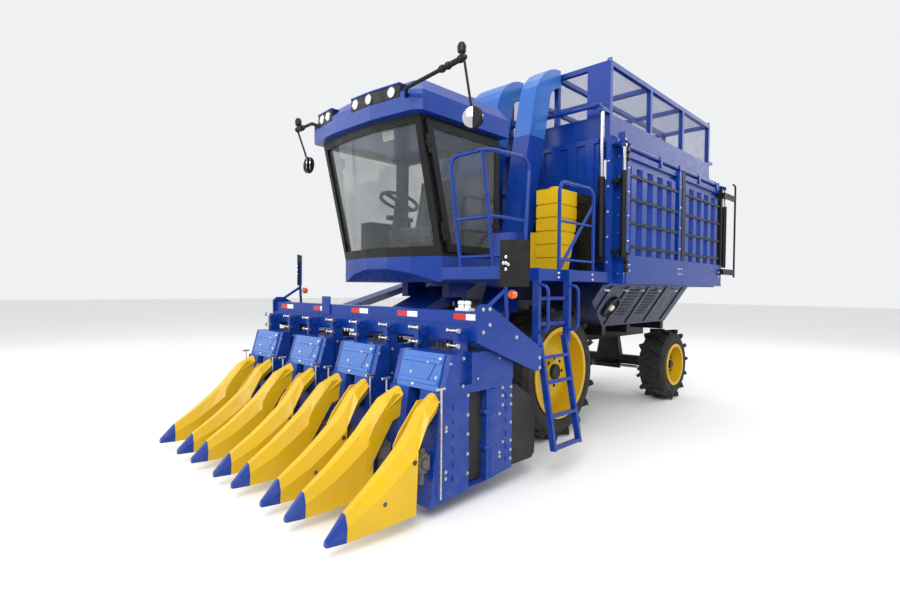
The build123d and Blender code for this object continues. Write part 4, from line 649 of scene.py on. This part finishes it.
# ---------------------------------------- wheels: hub covers and nuts
# The Y of the rim's outer face is taken from the rim's own vertices near the axle.
for name, body, x, y, z, hub, circle, count in (
        ("front_left", "wheel_front_left", 0.350, 0.800, 0.680, 0.082, 0.140, 8),
        ("front_right", "wheel_front_right", 0.350, -0.800, 0.680, 0.082, 0.140, 8),
        ("rear_left", "wheel_rear_left", -2.510, 0.849, 0.490, 0.058, 0.098, 6),
        ("rear_right", "wheel_rear_right", -2.510, -0.849, 0.490, 0.058, 0.098, 6)):
    side = 1 if y > 0 else -1
    disc = [abs(vert.co.y) for vert in nodes[name.replace("_", "_rim_", 1)].data.vertices
            if math.hypot(vert.co.x - x, vert.co.z - z) < circle + 0.05]
    y = side * max(disc)
    hubs = bmesh.new()
    turned(hubs, (x, y, z), (0, side, 0),
           [(hub, -0.002), (hub, 0.022), (hub * 0.8, 0.034), (hub * 0.75, 0.030)], 28)
    nuts = bmesh.new()
    for index in range(count):
        angle = 2 * math.pi * index / count
        bolt(nuts, (x + circle * math.cos(angle), y, z + circle * math.sin(angle)), (0, side, 0), 0.013)
    make("hub_cover_" + name, hubs, body, "black")
    make("wheel_nuts_" + name, nuts, body, "black")

# ---------------------------------------- cab mirrors: silver faces in black rims
mirror_face = [(0.073, 0), (0.073, 0.0025), (0.069, 0.003)]
faces = bmesh.new()
for x, y, z in ((2.210, 1.373, 2.716), (2.210, -0.785, 2.722)):
    angle = math.radians(math.copysign(35, y))
    for way in (-1, 1):
        normal = Vector((math.cos(angle), math.sin(angle), 0)) * way
        turned(faces, Vector((x, y, z)) + normal * 0.014, normal, mirror_face, 32)
make("cab_mirror_faces", faces, "chassis", "silver")

# ---------------------------------------- tank cap and rear lamps
tank = bmesh.new()
turned(tank, (0.42, 0.930, 2.498), (0, 0, 1),
       [(0.075, 0), (0.075, 0.030), (0.068, 0.036), (0.060, 0.036)], 24)
make("tank_cap", tank, "chassis", "black")
rear_lamp = [(0.034, -0.01), (0.034, 0.016), (0.028, 0.022)]
rear = bmesh.new()
for side in (-1, 1):
    for z in (1.69, 1.78):
        turned(rear, (-2.950, side * 1.150, z), (-1, 0, 0), rear_lamp, 20)
make("rear_lamps", rear, "chassis", "red")

# ---------------------------------------- cab seat: padded pieces on a black base
# A pressure cloth swells each pad within a cap, then two sewn channels are drawn into it.
cloth_frames = 20
channel_depth = 0.006
channel_width = 0.010


def cushion(name, outline, half, cap):
    """A crowned pad from a side outline and a half width."""
    bm = bmesh.new()
    prism(bm, outline, "y", -half, half)
    bmesh.ops.recalc_face_normals(bm, faces=bm.faces)
    mesh = bpy.data.meshes.new(name)
    bm.to_mesh(mesh)
    bm.free()
    pad = bpy.data.objects.new(name, mesh)
    bpy.context.collection.objects.link(pad)
    voxels = pad.modifiers.new("voxels", "REMESH")
    voxels.mode = "VOXEL"
    voxels.voxel_size = 0.008
    depsgraph = bpy.context.evaluated_depsgraph_get()
    pad.data = bpy.data.meshes.new_from_object(pad.evaluated_get(depsgraph))
    pad.modifiers.clear()
    cloth = pad.modifiers.new("cloth", "CLOTH")
    cloth.settings.use_pressure = True
    cloth.settings.uniform_pressure_force = 4
    cloth.settings.effector_weights.gravity = 0
    for frame_number in range(1, cloth_frames + 1):
        bpy.context.scene.frame_set(frame_number)
    depsgraph = bpy.context.evaluated_depsgraph_get()
    swollen = bpy.data.meshes.new_from_object(pad.evaluated_get(depsgraph))
    pad.modifiers.clear()
    for vert, moved in zip(pad.data.vertices, swollen.vertices):
        move = moved.co - vert.co
        vert.co += move * min(1.0, cap / max(move.length, 1e-6))
    bpy.context.scene.frame_set(1)
    normals = [vert.normal.copy() for vert in pad.data.vertices]
    for vert, normal in zip(pad.data.vertices, normals):
        for channel in (-0.13, 0.13):
            vert.co -= normal * channel_depth * math.exp(-((vert.co.y - channel) / channel_width) ** 2)
    smooth = pad.modifiers.new("smooth", "SUBSURF")
    smooth.levels = smooth.render_levels = 1
    pad.data.polygons.foreach_set("use_smooth", [True] * len(pad.data.polygons))
    pad.data.materials.append(paints["seat"])
    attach(pad, "chassis")
    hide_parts("cab_seat")
    return pad


cushion("seat_cushion", [(1.264, 2.014), (1.676, 2.014), (1.676, 2.086), (1.264, 2.086)], 0.226, 0.014)
cushion("seat_back", [(1.170, 2.626), (1.236, 2.626), (1.332, 2.110), (1.262, 2.096)], 0.216, 0.014)
base = bmesh.new()
box(base, (1.300, -0.180, 1.800), (1.580, 0.180, 1.830))
for index in range(5):
    low = 1.830 + index * 0.026
    turned(base, (1.440, 0.0, low), (0, 0, 1), [(0.130, 0), (0.150, 0.013), (0.130, 0.026)], 24)
box(base, (1.280, -0.200, 1.960), (1.600, 0.200, 1.998))
for side in (-1, 1):
    outer, inner = side * 0.310, side * 0.250
    box(base, (1.310, min(outer, inner), 2.205), (1.620, max(outer, inner), 2.248))
    outer, inner = side * 0.290, side * 0.262
    box(base, (1.330, min(outer, inner), 1.985), (1.375, max(outer, inner), 2.210))
    outer, inner = side * 0.290, side * 0.150
    box(base, (1.330, min(outer, inner), 1.970), (1.375, max(outer, inner), 1.995))
seat_base = make("seat_base", base, "chassis", "plastic", 0.004)
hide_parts("cab_seat")

# ---------------------------------------- cab roof: lamp bands and round lamps
# Two dark bands follow the roof's brow and hold the round lamps that the CAD lamps stand for. The brow is
# straight in the middle and sweeps back at both sides.
brow_x, brow_sweep, brow_straight = 2.250, 0.111, 0.25


def brow(y):
    """The X of the roof's front edge at this Y."""
    return brow_x - brow_sweep * max(0.0, abs(y) - brow_straight)


bands = bmesh.new()
visors = bmesh.new()
rings = bmesh.new()
lenses = bmesh.new()
for low, high in ((-0.020, 0.590), (-0.610, -0.330)):
    steps = [low + (high - low) * index / 6 for index in range(7)]
    front = [(brow(y) + 0.004, y) for y in steps]
    rear = [(brow(y) - 0.110, y) for y in reversed(steps)]
    prism(bands, front + rear, "z", 3.052, 3.156)
    front = [(brow(y) + 0.010, y) for y in steps]
    prism(visors, front + rear, "z", 3.157, 3.170)
for y in (0.050, 0.235, 0.500, -0.400, -0.520):
    facing = Vector((1, brow_sweep * (y > brow_straight) - brow_sweep * (y < -brow_straight), 0))
    face = Vector((brow(y) + 0.003, y, 3.106))
    turned(rings, face, facing, [(0.043, 0), (0.043, 0.008), (0.036, 0.012), (0.034, 0.004)], 28)
    turned(lenses, face, facing, [(0.034, 0), (0.034, 0.006), (0.022, 0.010), (0.008, 0.011)], 28)
make("lamp_bands", bands, "chassis", "black", 0.004)
make("lamp_visors", visors, "chassis", "blue", 0.004)
lamp_rings = make("lamp_rings", rings, "chassis", "silver")
lamp_lenses = make("lamp_lenses", lenses, "chassis", "white")
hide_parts("roof_lamps")
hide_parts("roof_lamps")

# ---------------------------------------- cab: mirror arm clamps and blank card
# Each arm has a sleeve with three clamps on it and a swivel at its end. The card hangs behind the windscreen.
clamp_profile = [(0.024, 0), (0.028, 0.006), (0.028, 0.026), (0.024, 0.032)]
clamps = bmesh.new()
for start, end in (((2.270, 0.730, 3.070), (2.220, 1.290, 3.156)),
                   ((2.255, -0.650, 3.090), (2.220, -0.985, 3.104))):
    run = Vector(end) - Vector(start)
    for share in (0.62, 0.72, 0.92):
        turned(clamps, Vector(start) + run * share, run, clamp_profile, 16)
    turned(clamps, Vector(start) + run * 0.60, run,
           [(0.021, 0), (0.021, run.length * 0.42), (0.012, run.length * 0.44)], 16)
    turned(clamps, Vector(end) - run.normalized() * 0.02, (0, 0, 1),
           [(0.014, 0), (0.014, 0.030), (0.030, 0.045), (0.033, 0.085), (0.020, 0.110)], 16)
make("mirror_arm_clamps", clamps, "chassis", "black")
card = bmesh.new()
prism(card, [(2.052, 2.800), (2.085, 2.935), (2.088, 2.934), (2.055, 2.799)], "y", 0.185, 0.335)
make("windscreen_card", card, "chassis", "white", 0.0005)
